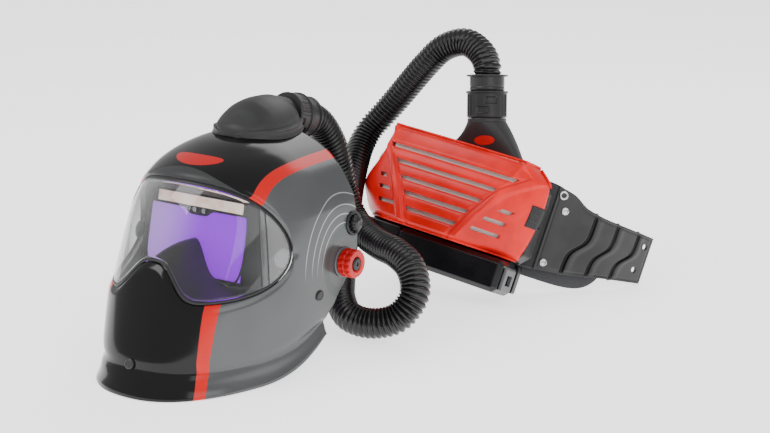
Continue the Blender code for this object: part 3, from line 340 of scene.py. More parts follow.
print("plain finishes made:", len(bpy.data.materials))

# %% [markdown]
# ## The breathing hose
# The hose is moulded with a ring-shaped rib every 5.2 mm, so that it bends without kinking. Its route
# is the one that the frame settles: out of the helmet's coupling, down, once round in a loop on the
# floor, and up to the blower. The surface is a circle carried along that route. The circle's radius
# rises and falls with the distance travelled.

# %% The hose's route
NECK_AT, NECK_DROP = np.array([0.0, 112.0, 243.0]), math.radians(15.0)
NECK_AXIS = np.array([0.0, math.cos(NECK_DROP), -math.sin(NECK_DROP)])
OUTLET_AT = np.array([16.0, 58.0, 52.4])
OUTLET_AXIS = np.array([-0.25, -0.2, 0.947]) / np.linalg.norm([-0.25, -0.2, 0.947])
HOSE_RADIUS = 16.75
HOSE_ROUTE = np.array([
    (1, 191, 216), (2, 209, 192), (1, 223, 162), (4, 230, 132), (18, 227, 105), (44, 217, 91),
    (72, 205, 86), (101, 194, 84), (128, 182, 74), (142, 168, 52), (131, 153, 28), (104, 142, 19),
    (75, 141, 22), (52, 157, 33), (32, 184, 45), (10, 216, 58), (-14, 252, 73), (-38, 292, 91),
    (-60, 330, 112), (-73, 358, 132), (-78, 376, 149), (-75, 390, 166), (-63, 401, 184),
    (-47, 409, 205), (-28, 414, 229), (-9, 417, 251), (13, 421, 272), (43, 422, 281), (69, 417, 270)])


def smooth_route(points, step):
    """Even points along a smooth curve: centripetal Catmull-Rom through the given points.

    Each stretch is a cubic whose end slopes come from its neighbours, spaced by the root of their
    distance, so it never loops. The curve is then read again at equal distances.
    """
    ends = np.vstack([2 * points[0] - points[1], points, 2 * points[-1] - points[-2]])
    a, b, c, d = ends[:-3, None], ends[1:-2, None], ends[2:-1, None], ends[3:, None]
    ab, bc, cd = (np.sqrt(np.linalg.norm(q - p, axis=2, keepdims=True)) for p, q in ((a, b), (b, c), (c, d)))
    leave = ((b - a) / ab - (c - a) / (ab + bc) + (c - b) / bc) * bc
    arrive = ((c - b) / bc - (d - b) / (bc + cd) + (d - c) / cd) * bc
    f = np.linspace(0, 1, 24, endpoint=False)[None, :, None]
    curve = b * (2 * f**3 - 3 * f**2 + 1) + leave * (f**3 - 2 * f**2 + f)
    curve = curve + c * (3 * f**2 - 2 * f**3) + arrive * (f**3 - f**2)
    curve = np.vstack([curve.reshape(-1, 3), points[-1]])
    travelled = np.concatenate([[0], np.cumsum(np.linalg.norm(np.diff(curve, axis=0), axis=1))])
    even = np.linspace(0, travelled[-1], round(travelled[-1] / step) + 1)
    return np.stack([np.interp(even, travelled, curve[:, k]) for k in range(3)], 1), travelled[-1]


hose_start = on_helmet(NECK_AT + NECK_AXIS * 58.3) * 1000
hose_end = on_blower(OUTLET_AT + OUTLET_AXIS * 95.8) * 1000
outlet_way = BLOWER_TURN @ OUTLET_AXIS
hose_points = np.vstack([hose_start, hose_start + NECK_AXIS * 9, HOSE_ROUTE + HELMET_ORIGIN,
                         hose_end + outlet_way * 9, hose_end])
hose_line, hose_length = smooth_route(hose_points, 0.65)
print("hose length in mm:", round(hose_length, 1))


# %% A tube along the route
def steady_frames(line):
    """Two directions across a line at each point, turned as little as possible from one to the next.

    The first crossing direction is carried along: at each point the part along the line is removed.
    """
    ways = np.gradient(line, axis=0)
    ways = ways / np.linalg.norm(ways, axis=1, keepdims=True)
    across = np.empty_like(ways)
    across[0] = np.cross(ways[0], (1.0, 0.3, 0.2))
    for k in range(1, len(line)):
        across[k] = across[k - 1] - (across[k - 1] @ ways[k]) * ways[k]
        across[k] /= np.linalg.norm(across[k])
    across[0] /= np.linalg.norm(across[0])
    return across, np.cross(ways, across)


def ribbed_tube(line, radius, pitch, depth, around=36):
    """A circle along a line; its radius drops by depth between ribs, as a rounded wave of the travel."""
    across, over = steady_frames(line)
    travel = np.concatenate([[0], np.cumsum(np.linalg.norm(np.diff(line, axis=0), axis=1))])
    count = round(travel[-1] / pitch)
    wave = 0.5 - 0.5 * np.cos(2 * math.pi * count * travel / travel[-1])
    swell = radius - depth * (1 - wave**0.7)
    turn = np.linspace(0, 2 * math.pi, around, endpoint=False)
    ring = across[:, None] * np.cos(turn)[None, :, None] + over[:, None] * np.sin(turn)[None, :, None]
    return line[:, None] + ring * swell[:, None, None]


hose_finish = plastic("hose_black", (0.006, 0.006, 0.006), 0.25, 0.02, Specular_IOR_Level=0.45)
hose_grid = ribbed_tube(hose_line, HOSE_RADIUS, 5.2, 2.6) * 0.001
hose = piece("hose", hose_grid, hose_finish.material, "respirator", wrap_columns=True, caps=True,
             sharp=80)
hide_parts("breathing_hose")
print("hose faces:", len(hose.data.polygons))

# %% [markdown]
# ## The helmet's shell
# The shell is one moulding. Each level section is half of a squarish oval in front and runs straight
# back behind. A short table says how high, deep, wide and square it is at each station of the middle
# line, and a cubic that never overshoots reads between the stations.

# %% Reading the shell's table
SHELL_HEIGHT, SHELL_REACH, SHELL_HALF_WIDTH = 231.0, 191.0, 110.0
SECTION_CENTRE_Y, REAR_EDGE_Y, RIM_RISE = 60.0, 110.0, 30.0
SHELL_STATIONS = np.array([
    (0.000, 1.000, 0.955, 2.30), (0.035, 0.979, 0.927, 2.30), (0.087, 0.953, 0.909, 2.35),
    (0.195, 0.911, 0.936, 2.40), (0.368, 0.832, 0.982, 2.40), (0.541, 0.743, 1.000, 2.25),
    (0.693, 0.660, 0.973, 2.15), (0.814, 0.576, 0.855, 2.10), (0.892, 0.487, 0.709, 2.05),
    (0.948, 0.346, 0.527, 2.00), (0.987, 0.178, 0.291, 2.00), (1.000, 0.000, 0.000, 2.00)])
REAR_EDGE = np.array([(0.0, 0.04), (0.15, 0.12), (0.30, 0.40), (0.41, 0.80), (0.50, 1.0), (1.0, 1.0)])


def smooth_read(table, column, x):
    """A column of a table at x, by its first column: cubics whose slopes are harmonic means."""
    xs, ys = table[:, 0], table[:, column]
    x = np.clip(x, xs[0], xs[-1])
    slopes = np.diff(ys) / np.diff(xs)
    before, after = slopes[:-1], slopes[1:]
    total = np.where(before + after == 0, 1.0, before + after)
    middle = np.where(before * after <= 0, 0.0, 2 * before * after / total)
    tangents = np.concatenate([[slopes[0]], middle, [slopes[-1]]])
    k = np.clip(np.searchsorted(xs, x, side="right") - 1, 0, len(xs) - 2)
    span = (xs[1:] - xs[:-1])[k]
    f = (x - xs[k]) / span
    rise = ys[k] * (2 * f**3 - 3 * f**2 + 1) + ys[k + 1] * (3 * f**2 - 2 * f**3)
    return rise + span * (tangents[k] * (f**3 - 2 * f**2 + f) + tangents[k + 1] * (f**3 - f**2))


steps_up = np.diff(SHELL_STATIONS[:, 0]) * SHELL_HEIGHT
steps_in = np.diff(SHELL_STATIONS[:, 1]) * SHELL_REACH
travelled = np.concatenate([[0], np.cumsum(np.hypot(steps_up, steps_in))])
STATIONS = np.column_stack([travelled, SHELL_STATIONS * (SHELL_HEIGHT, SHELL_REACH, SHELL_HALF_WIDTH, 1)])
MIDLINE = travelled[-1]
fine_travel = np.linspace(0, MIDLINE, 3000)
fine_height = smooth_read(STATIONS, 1, fine_travel)


def travel_at(height):
    """How far up the middle line the shell has this height."""
    return np.interp(height, fine_height, fine_travel)


def shell_surface(angle, travel, back=0.0, depth=0.0):
    """Points of the shell: an oval |x/w|^p + |y/r|^p = 1 at each level, straight behind its middle.

    angle goes round the section, travel up the middle line, back past the sides, depth inwards.
    """
    angle, travel, back, depth = np.broadcast_arrays(angle, travel, back, depth)
    height, reach, width, power = (smooth_read(STATIONS, k, travel) for k in (1, 2, 3, 4))
    reach, width = np.maximum(reach - depth, 0.001), np.maximum(width - depth, 0.001)
    side, front = np.abs(np.sin(angle)) / width, np.abs(np.cos(angle)) / reach
    radius = (side**power + front**power) ** (-1.0 / power)
    turn = np.clip((np.abs(angle) - math.pi / 4) / (math.pi / 4), 0, 1)
    lift = RIM_RISE * turn**2 * np.maximum(1 - height / 60.0, 0)
    edge = smooth_read(REAR_EDGE, 1, height / SHELL_HEIGHT) * (REAR_EDGE_Y - SECTION_CENTRE_Y)
    return np.stack([radius * np.sin(angle), SECTION_CENTRE_Y - radius * np.cos(angle) + back * edge,
                     height + lift], -1)


print("middle line of the shell in mm:", round(MIDLINE, 1))

# %% [markdown]
# ## The window's outline
# The window runs round the face from ear to ear. Its top edge falls towards the ends. Its bottom edge
# climbs over the nose. Both are heights as a function of the angle, drawn together at the ends.

# %% Heights of the window's edges
WINDOW_HALF = math.radians(64.0)
WINDOW_MIDDLE, WINDOW_TOP, WINDOW_TOP_DROP = 128.0, 200.0, 24.0
WINDOW_BOTTOM, WINDOW_LIFT, NOSE_HEIGHT, NOSE_HALF = 89.0, 8.0, 35.0, 12.5


def window_edge(u, side, inset=0.0):
    """Angle and height of the window's edge for u from -1 to 1: side 1 is its top, -1 its bottom."""
    angle = u * (WINDOW_HALF - inset / SHELL_HALF_WIDTH)
    degrees = np.abs(np.degrees(angle))
    if side > 0:
        height = WINDOW_TOP - WINDOW_TOP_DROP * (degrees / 64.0) ** 2 - inset
    else:
        lift = WINDOW_LIFT * np.maximum((degrees - 20) / 44, 0) ** 2
        nose = NOSE_HEIGHT * np.exp(-((degrees / (NOSE_HALF + inset / 3)) ** 3))
        height = WINDOW_BOTTOM + lift + nose + inset
    rounding = np.sqrt(np.maximum(1 - np.abs(u) ** 5, 0))
    return angle, WINDOW_MIDDLE + (height - WINDOW_MIDDLE) * rounding


def window_loop(inset, depth, count=220):
    """A closed ring of points round the window, closer together where it turns."""
    u = np.sin(np.linspace(-math.pi / 2, math.pi / 2, count, endpoint=False))
    top_angle, top_height = window_edge(u, 1, inset)
    low_angle, low_height = window_edge(-u, -1, inset)
    angle = np.concatenate([top_angle, low_angle])
    height = np.concatenate([top_height, low_height])
    return shell_surface(angle, travel_at(height), 0.0, depth)


# %% [markdown]
# ## The shell's paint
# Black runs down the middle, and grey covers the sides. A red stripe parts the two: below the window
# it runs down beside the chin, and above the window it sweeps back over the temple. Each border is
# kept on the points as a signed distance in millimetres, so the material draws it as a clean line.

# %% Where each colour lies
STRIPE_TOP_LEVEL, STRIPE_TOP_DIP, STRIPE_TOP_RUN = 212.0, 14.0, 24.0
STRIPE_FOOT_LEVEL, STRIPE_FOOT_DIP, STRIPE_FOOT_RUN = 204.0, 17.0, 21.0
BROW_TOP, BROW_FALL, BROW_HALF = 210.0, 25.0, 70.0


def levelling(y, level, dip, run):
    """A line that climbs backwards and levels off: level - dip * e^(-y / run)."""
    return level - dip * np.exp(-np.maximum(y, -40.0) / run)


def paint_fields(angle, points):
    """Signed distances: into the black, into the red stripe, into the oval badge, from the pivot, and into the
    band above the window where a reflection is painted.
    """
    x, y, z = points[..., 0], points[..., 1], points[..., 2]
    degrees = np.degrees(np.abs(angle))
    inner = np.interp(z, (0, 34, 68, 91), (22.0, 22.4, 23.4, 24.4))
    outer = np.interp(z, (0, 34, 68, 91), (25.4, 26.3, 28.4, 30.2))
    per_degree = 2.4
    low_black = (inner - degrees) * per_degree
    low_red = np.minimum(degrees - inner, outer - degrees) * per_degree
    upper = levelling(y, STRIPE_TOP_LEVEL, STRIPE_TOP_DIP, STRIPE_TOP_RUN)
    lower = levelling(y, STRIPE_FOOT_LEVEL, STRIPE_FOOT_DIP, STRIPE_FOOT_RUN)
    high_black = z - upper
    high_red = np.minimum(upper - z, z - lower)
    high = z > WINDOW_MIDDLE
    black = np.where(high, high_black, low_black)
    red = np.where(high, high_red, low_red)
    oval = 1 - np.hypot(x / 30.0, (travel_at(z) - travel_at(215.5)) / 9.0)
    ring = np.hypot((y - 85.0) / 0.86, z - 103.0)
    # The band just above the window is a painted reflection on the bevel there.
    brow = np.where(high & (y < 0), BROW_TOP - BROW_FALL * (x / BROW_HALF) ** 2 - z, -9.0)
    return {"black": black, "red": red, "oval": oval, "ring": ring, "brow": brow}


shell_paint = Finish("shell_paint", 0.16, 0.0, 0.0, Specular_IOR_Level=0.30)
broad = shell_paint.noise(9.0, 2.0)
grey = shell_paint.blend((0.080, 0.083, 0.085), (0.098, 0.101, 0.103), shell_paint.step(broad, 0.3, 0.7))
ring = shell_paint.stored("ring")
lines = None
for radius in (41.0, 50.0, 59.5, 71.0):
    line = 1 - shell_paint.step(shell_paint.join("ABSOLUTE", ring - radius), 0.25, 0.75)
    lines = line if lines is None else shell_paint.join("MAXIMUM", lines, line)
band = shell_paint.step(ring, 27.0, 27.8) * (1 - shell_paint.step(ring, 37.0, 37.8))
around = shell_paint.node("ShaderNodeSeparateXYZ", {}, {"Vector": shell_paint.where()}, "Z")
lines = lines * shell_paint.step(around, 0.092, 0.125) * 0.75
grey = shell_paint.blend(grey, (0.070, 0.082, 0.080), band * 0.75)
grey = shell_paint.blend(grey, (0.48, 0.50, 0.50), lines)
black_mask = shell_paint.step(shell_paint.stored("black"), -0.3, 0.3)
red_mask = shell_paint.step(shell_paint.stored("red"), -0.3, 0.3)
oval_mask = shell_paint.step(shell_paint.stored("oval"), -0.02, 0.02)
# Painted reflection: the bevel above the window is painted dark grey instead of black, and made rougher.
brow_reflection_mask = shell_paint.step(shell_paint.stored("brow"), -0.3, 0.3) * black_mask
coloured = shell_paint.blend(grey, (0.004, 0.004, 0.004), black_mask)
coloured = shell_paint.blend(coloured, (0.034, 0.035, 0.036), brow_reflection_mask)
coloured = shell_paint.blend(coloured, (0.62, 0.006, 0.004), red_mask)
coloured = shell_paint.blend(coloured, (0.56, 0.005, 0.006), oval_mask)
shell_paint.put("Base Color", coloured)
shell_paint.put("Roughness", 0.20 - black_mask * 0.06 + brow_reflection_mask * 0.26 + (broad - 0.5) * 0.05)
shell_paint.put("Metallic", (1 - black_mask) * (1 - red_mask) * 0.35)
shell_paint.relief(shell_paint.noise(240.0, 2.0), 0.03, 0.25)

# %% [markdown]
# ## Laying the shell's grid round its window
# A hole in a grid is easiest when rows end on it. The rows below the window end on its bottom edge,
# and the rows above start from its top edge. Past the window's ends both meet on one line. The last
# few millimetres towards the window dip inwards, which makes the bevelled seat that the lens lies in.


# %% The shell
def shell_grid():
    """Columns round the shell and rows up it, split along the window."""
    u = np.sin(np.linspace(-math.pi / 2, math.pi / 2, 121))
    beside = np.linspace(0, 1, 18, endpoint=False)
    side_angles = WINDOW_HALF + (math.pi / 2 - WINDOW_HALF) * (1 - beside)
    angles = np.concatenate([-side_angles, u * WINDOW_HALF, side_angles[::-1]])
    behind = np.linspace(1, 0, 20, endpoint=False)
    angles = np.concatenate([np.full(20, -math.pi / 2), angles, np.full(20, math.pi / 2)])
    back = np.concatenate([behind, np.zeros(len(angles) - 40), behind[::-1]])
    share = np.clip(angles / WINDOW_HALF, -1, 1)
    low = travel_at(window_edge(share, -1)[1])
    top = travel_at(window_edge(share, 1)[1])
    below = 1 - np.linspace(1, 0, 40) ** 1.25
    above = np.linspace(0, 1, 64) ** 1.25
    travel = np.concatenate([low[None] * below[:, None], top[None] + (MIDLINE - top[None]) * above[:, None]])
    edge = np.concatenate([np.repeat(low[None], 40, 0), np.repeat(top[None], 64, 0)])
    beyond = np.maximum(np.abs(angles) - WINDOW_HALF, 0) * SHELL_HALF_WIDTH + back * 60
    away = np.hypot(travel - edge, beyond[None])
    seat = 3.0 * np.clip(1 - away / 8.5, 0, 1) ** 1.7
    height = smooth_read(STATIONS, 1, travel)
    crease = 2.0 * np.exp(-(((height - 25) / 5.0) ** 2))
    points = shell_surface(angles[None], travel, back[None], seat + crease)
    keep = np.ones((len(travel) - 1, len(angles) - 1), bool)
    keep[39] = False
    return points, angles[None] + 0 * travel, keep


shell_points, shell_angles, shell_keep = shell_grid()
shell = piece("shell", on_helmet(shell_points), shell_paint.material, "respirator", keep=shell_keep,
              fields=paint_fields(shell_angles, shell_points), sharp=60)
wall(shell, 2.4)
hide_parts("helmet_shell")
print("shell faces:", len(shell.data.polygons))

# %% [markdown]
# ## Lens and lens frame
# The frame is a rounded bar bent round the window: a small cross section carried along the outline.
# The clear lens is a sheet between the outline's bottom and top edges. Two thin beads mark where its
# flat middle ends and its side begins.


# %% The lens frame
def bar_round_window(section):
    """A closed section, given as (inset, depth) pairs, carried round the window's outline."""
    return np.stack([window_loop(inset, depth) for inset, depth in section], 1)


section_turn = np.linspace(0, 2 * math.pi, 12, endpoint=False)
section = [(1.9 + 1.5 * math.cos(a), 3.7 + 1.3 * math.sin(a)) for a in section_turn]
bar = piece("window_frame", on_helmet(bar_round_window(section)), SATIN_BLACK, "respirator",
            wrap_rows=True, wrap_columns=True, closed=True, sharp=70)
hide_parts("lens_frame")

# %% The lens
clear = Finish("clear_lens", 0.02, 0.0, 0.0, IOR=1.33)
clear.put("Base Color", (0.90, 0.91, 0.92, 1.0)).put("Transmission Weight", 1.0)
# A pale grey diffuse sheet is mixed into the clear lens by a stored share: a painted reflection of the lights.
reflection_diffuse = clear.tree.nodes.new("ShaderNodeBsdfDiffuse")
reflection_diffuse.inputs["Color"].default_value = (0.66, 0.66, 0.66, 1.0)
mixed = clear.tree.nodes.new("ShaderNodeMixShader")
haze = clear.stored("haze") * (clear.noise(14.0, 2.0) * 0.3 + 0.85)
clear.tree.links.new(haze.socket, mixed.inputs["Fac"])
clear.tree.links.new(clear.shader.outputs["BSDF"], mixed.inputs[1])
clear.tree.links.new(reflection_diffuse.outputs["BSDF"], mixed.inputs[2])
clear.tree.links.new(mixed.outputs["Shader"], clear.tree.nodes["Material Output"].inputs["Surface"])
CLEAR = clear.material
share_across = np.sin(np.linspace(-math.pi / 2, math.pi / 2, 90))
lens_low = window_edge(share_across, -1, 3.2)
lens_high = window_edge(share_across, 1, 3.2)
rise = np.linspace(0, 1, 34)[:, None]
lens_height = lens_low[1][None] + (lens_high[1] - lens_low[1])[None] * rise
lens_grid = shell_surface(lens_low[0][None] + 0 * rise, travel_at(lens_height), 0.0, 2.9)
lens_degrees = np.degrees(lens_low[0])[None] + 0 * rise
# The painted reflection is strongest towards one end of the lens and grows towards its top.
painted_reflection_round = np.interp(lens_degrees, (-64, -52, -40, -20, 0, 20, 40, 47, 50, 56, 64),
                       (0.46, 0.44, 0.36, 0.14, 0.03, 0.01, 0.01, 0.04, 0.22, 0.26, 0.22))
painted_reflection_up = 0.75 + 0.55 * np.clip((lens_height - 120.0) / 70.0, 0, 1) ** 2
lens = piece("lens", on_helmet(lens_grid), CLEAR, "respirator", sharp=180,
             fields={"haze": painted_reflection_round * painted_reflection_up})
wall(lens, 1.4)
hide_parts("cover_lens")


def bead(name, degrees, width, finish, depth=2.3):
    """A thin round bar up the lens at one angle."""
    angle = math.radians(degrees)
    u = angle / WINDOW_HALF
    low, high = (float(window_edge(np.array(u), side, 5.0)[1]) for side in (-1, 1))
    heights = np.linspace(low, high, 40)
    turn = np.linspace(0, 2 * math.pi, 8, endpoint=False)
    around = angle + width / 110.0 * np.cos(turn)[None] + 0 * heights[:, None]
    travel = travel_at(heights[:, None] + 0 * turn)
    grid = shell_surface(around, travel, 0.0, depth + width * np.sin(turn)[None])
    return piece(name, on_helmet(grid), finish, "respirator", wrap_columns=True, caps=True)


for label, side in (("left", 1), ("right", -1)):
    bead("lens_bead_inner_" + label, 47.5 * side, 0.55, SMOKE_GREY)
    bead("lens_bead_outer_" + label, 50.5 * side, 0.45, SATIN_BLACK)

# %% [markdown]
# ## The air duct on the crown
# The duct is a soft hump, low in front and highest near its rear. Each slice across it is an arch that
# stands on the crown, and a skirt runs round its foot where it is screwed down.

# %% The duct
DUCT_TOP = np.array([(36.0, 243.0), (45.0, 245.0), (51.0, 248.0), (62.0, 256.0), (73.0, 261.0), (88.0, 263.0),
                     (104.0, 262.5), (116.0, 258.0), (127.0, 251.0)])
DUCT_FRONT_Y, DUCT_REAR_Y, DUCT_WIDEST_Y, DUCT_HALF = 36.0, 126.0, 84.0, 42.5
SKIRT_HEIGHT, SKIRT_LIP = 8.0, 2.0


def crown_height(x, y):
    """Height of the shell above a point of its crown: halving the travel until the oval just holds it."""
    low = np.full(np.shape(x), float(travel_at(SHELL_HEIGHT * 0.6)))
    high = np.full(np.shape(x), MIDLINE)
    for _ in range(34):
        middle = (low + high) / 2
        reach, width, power = (smooth_read(STATIONS, k, middle) for k in (2, 3, 4))
        ahead = np.maximum(SECTION_CENTRE_Y - y, 0) / np.maximum(reach, 0.001)
        inside = (np.abs(x) / np.maximum(width, 0.001)) ** power + ahead**power < 1
        low, high = np.where(inside, middle, low), np.where(inside, high, middle)
    return smooth_read(STATIONS, 1, (low + high) / 2)


def duct_grid():
    """Slices across the crown: an upright skirt, a ledge, and then an arch up to the top line.

    The half width swells as an oval from the front and narrows again behind. The slice is smoothed by
    averaging each point with its neighbours, which rounds the skirt's corners.
    """
    travel = np.linspace(0, 1, 90)
    y = DUCT_FRONT_Y + (DUCT_REAR_Y - DUCT_FRONT_Y) * travel
    ahead = np.clip(1 - (np.maximum(DUCT_WIDEST_Y - y, 0) / 48.4) ** 2.3, 0.004, 1)
    behind = 1 - 0.70 * (np.maximum(y - DUCT_WIDEST_Y, 0) / 44.0) ** 2
    half = DUCT_HALF * np.sqrt(ahead * behind)
    top = smooth_read(DUCT_TOP, 1, y)
    foot = crown_height(half, y)
    middle = crown_height(0 * y, y)
    blunt = np.sqrt(np.clip(1 - (np.maximum(48.0 - y, 0) / 12.2) ** 2, 0, 1))
    turn = np.linspace(0, math.pi / 2, 44)
    out = np.concatenate([np.full(9, 1.0), np.linspace(1, 0.87, 8)[1:], 0.87 * np.cos(turn)[1:]])
    rise = np.concatenate([np.linspace(0, 1, 9), np.full(7, 1.0), np.full(43, 1.0)])
    arch = np.concatenate([np.zeros(16), (np.sin(turn) ** 1.15)[1:]])
    skirt_top = foot + (middle - foot) * 0.15 + SKIRT_HEIGHT * blunt
    z = foot[:, None] - 0.5 + (skirt_top - foot + 0.5)[:, None] * rise
    z = z + (np.maximum(top - skirt_top, 0) * blunt)[:, None] * arch
    across = half[:, None] * out
    for _ in range(3):
        z[:, 1:-1] = (z[:, :-2] + 2 * z[:, 1:-1] + z[:, 2:]) / 4
        across[:, 1:-1] = (across[:, :-2] + 2 * across[:, 1:-1] + across[:, 2:]) / 4
    across = across + SKIRT_LIP * np.exp(-((z - foot[:, None]) / 2.2) ** 2) * blunt[:, None]
    across = np.concatenate([across, -across[:, -2::-1]], 1)
    z = np.concatenate([z, z[:, -2::-1]], 1)
    z = np.maximum(z, crown_height(across, y[:, None] + 0 * across) + 0.3)
    return np.stack([across, y[:, None] + 0 * across, z], -1)


duct_points = duct_grid()
duct = piece("duct", on_helmet(duct_points), DUCT_GREY, "respirator", caps=True, sharp=60)
wall(duct, 2.0)
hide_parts("air_duct")


# %% [markdown]
# ## Turned pieces
# Cuffs, couplings, knobs and rivets are all turned: a profile of radius against distance goes
# round an axis. A relief, as a function of the angle and the distance, cuts windows, ribs and lobes.


# %% A turned surface with a relief
def turned(profile, around, at, axis, relief=None):
    """Profile (radius, distance) carried round an axis; relief adds to the radius."""
    profile = np.asarray(profile, float)
    turn = np.linspace(0, 2 * math.pi, around, endpoint=False)[None]
    radius = profile[:, :1] + 0 * turn
    along = profile[:, 1:] + 0 * turn
    if relief is not None:
        radius = radius + relief(turn + 0 * along, along, radius)
    axis = np.asarray(axis, float) / np.linalg.norm(axis)
    side = np.cross(axis, (0.13, 0.31, 0.94))
    side /= np.linalg.norm(side)
    over = np.cross(axis, side)
    ring = side * np.cos(turn)[..., None] + over * np.sin(turn)[..., None]
    return np.asarray(at, float) + radius[..., None] * ring + along[..., None] * axis


def dense(profile, step=0.6):
    """The same profile with more points along its straight runs."""
    profile = np.asarray(profile, float)
    runs = [profile[:1]]
    for a, b in zip(profile, profile[1:]):
        count = max(1, int(np.linalg.norm(b - a) / step))
        runs.append(a + (b - a) * np.linspace(0, 1, count + 1)[1:, None])
    return np.vstack(runs)


def window_relief(turns, spans, deep, half_turn, softness=0.06):
    """Recesses: each is centred on a turn, within a span of distances."""
    def relief(turn, along, radius):
        cut = np.zeros_like(turn)
        for middle, (start, stop) in zip(turns, spans):
            off = np.abs((turn - middle + math.pi) % (2 * math.pi) - math.pi)
            inside = np.clip((half_turn - off) / softness, 0, 1)
            inside = inside * np.clip((along - start) / 0.5, 0, 1) * np.clip((stop - along) / 0.5, 0, 1)
            cut = np.maximum(cut, inside)
        return -deep * cut
    return relief


def coupling(name, at, axis, low, high, radius, inner, body, place, finish, relief, rim=2.0):
    profile = dense([(inner, low), (radius - 1.2, low), (radius, low + 1.2), (radius, high - rim - 1),
                     (radius + 1.4, high - rim), (radius + 1.4, high - 0.4), (radius + 1.0, high),
                     (inner, high)])
    grid = place(turned(profile, 144, at, axis, relief))
    return piece(name, grid, finish, body, wrap_rows=True, wrap_columns=True, closed=True, sharp=35)


def bayonet_relief(low, high, outer):
    """Windows in two rows, with ribs for the grip between them, on the outer wall only."""
    third = 2 * math.pi / 3
    middles = [0.3, 0.3 + third, 0.3 + 2 * third, 0.75, 0.75 + third, 0.75 + 2 * third]
    length = high - low
    spans = [(low + 0.16 * length, low + 0.42 * length)] * 3 + [(low + 0.52 * length, low + 0.78 * length)] * 3
    windows = window_relief(middles, spans, 1.6, 0.33)

    def relief(turn, along, radius):
        off = np.abs((turn - 1.6 + math.pi / 3) % third - math.pi / 3)
        ribs = 0.45 * np.sin(turn * 60) * (off < 0.36) * (along > low + 2) * (along < high - 4)
        return (windows(turn, along, radius) + ribs) * (radius > outer - 1.0)
    return relief


# %% Couplings and cuffs
helmet_ring = coupling("helmet_ring", NECK_AT, NECK_AXIS, 18.6, 38.4, 23.0, 17.4, "helmet_coupling",
                       on_helmet, SATIN_BLACK, bayonet_relief(18.6, 38.4, 23.0))
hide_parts("helmet_coupling")
blower_ring = coupling("blower_ring", OUTLET_AT, OUTLET_AXIS, 44.7, 75.9, 23.4, 17.4, "outlet_coupling",
                       on_blower, SATIN_BLACK, bayonet_relief(44.7, 75.9, 23.4))
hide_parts("outlet_coupling")


def cuff(name, at, axis, low, high, place, flange, node):
    """A rubber cuff: a collar, two shallow grooves, and a thin flange where the ribs start."""
    profile = dense([(17.4, low), (19.6, low), (20.5, low + 0.9), (20.5, low + 4), (20.0, low + 4.5),
                     (20.0, low + 5.5), (20.5, low + 6), (20.4, high - 3.0), (flange, high - 2.2),
                     (flange + 0.3, high - 1.2), (flange, high - 0.5), (17.4, high)], 0.8)
    made = piece(name, place(turned(profile, 72, at, axis)), RUBBER, "respirator", wrap_rows=True,
                 wrap_columns=True, closed=True, sharp=45)
    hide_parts(node)
    return made


helmet_cuff = cuff("helmet_cuff", NECK_AT, NECK_AXIS, 38.9, 58.0, on_helmet, 22.0, "hose_cuff_helmet")
blower_cuff = cuff("blower_cuff", OUTLET_AT, OUTLET_AXIS, 76.4, 95.5, on_blower, 24.2, "hose_cuff_blower")
neck_profile = dense([(14.2, -8.0), (17.0, -8.0), (17.0, 49.8), (14.2, 49.8)], 2.0)
piece("duct_neck", on_helmet(turned(neck_profile, 64, NECK_AT, NECK_AXIS)), DUCT_GREY,
      "respirator", wrap_rows=True, wrap_columns=True, closed=True)

# %% [markdown]
# ## The blower's filter cover
# The cover's face is a height field over its front view: almost flat between two raised bands, and
# turned back in flat facets beside them. Its columns follow the bands, so that the louvres can end
# along them. Every louvre row is left out of the grid as a slot, and the bars between are rounded.

# %% The cover's face
COVER_TOP, COVER_BOTTOM, COVER_DEPTH = 54.5, -53.5, 46.5
COVER_RIM = np.array([(-53.5, 102.0, 101.0), (-42.0, 110.0, 105.0), (-18.0, 122.0, 110.0),
                      (10.0, 114.0, 113.0), (36.0, 104.0, 111.0), (54.5, 92.0, 92.0)])
BAND_TOP_X, BAND_BOTTOM_X = 88.0, 37.0
SLOT_HEIGHTS, SLOT_HEIGHT = (31.0, 14.0, -3.0, -19.5, -36.5), 4.6
SIDE_SLOTS = ((-6.0, 16.5, 29.0), (-20.0, 13.0, 34.0), (-35.0, 9.5, 39.0))
SWOOSH = np.array([(-53.5, 33.0), (-37.0, 42.0), (-19.5, 51.0), (-3.0, 62.0), (14.0, 75.0), (31.0, 94.0),
                   (40.0, 102.0), (54.5, 104.0)])


def band_x(z):
    """Where a raised band runs at height z: a bow from the bottom in to the top corner."""
    share = (z - COVER_BOTTOM) / (COVER_TOP - COVER_BOTTOM)
    return BAND_BOTTOM_X + (BAND_TOP_X - BAND_BOTTOM_X) * share**0.8


def cover_field(x, z, edge):
    """How far back the face lies: nearly flat to the band, then a facet that curls at its rim."""
    inner = band_x(z)
    high = (z - COVER_BOTTOM) / (COVER_TOP - COVER_BOTTOM)
    flat = 7.0 * high**3 + 6.0 * (np.minimum(np.abs(x), inner) / BAND_TOP_X) ** 2 * high
    share = np.clip((np.abs(x) - inner) / (edge - inner), 0, 1)
    facet = (COVER_DEPTH - flat) * (0.72 * share + 0.28 * share**4)
    return flat + np.where(np.abs(x) > inner, facet, 0)


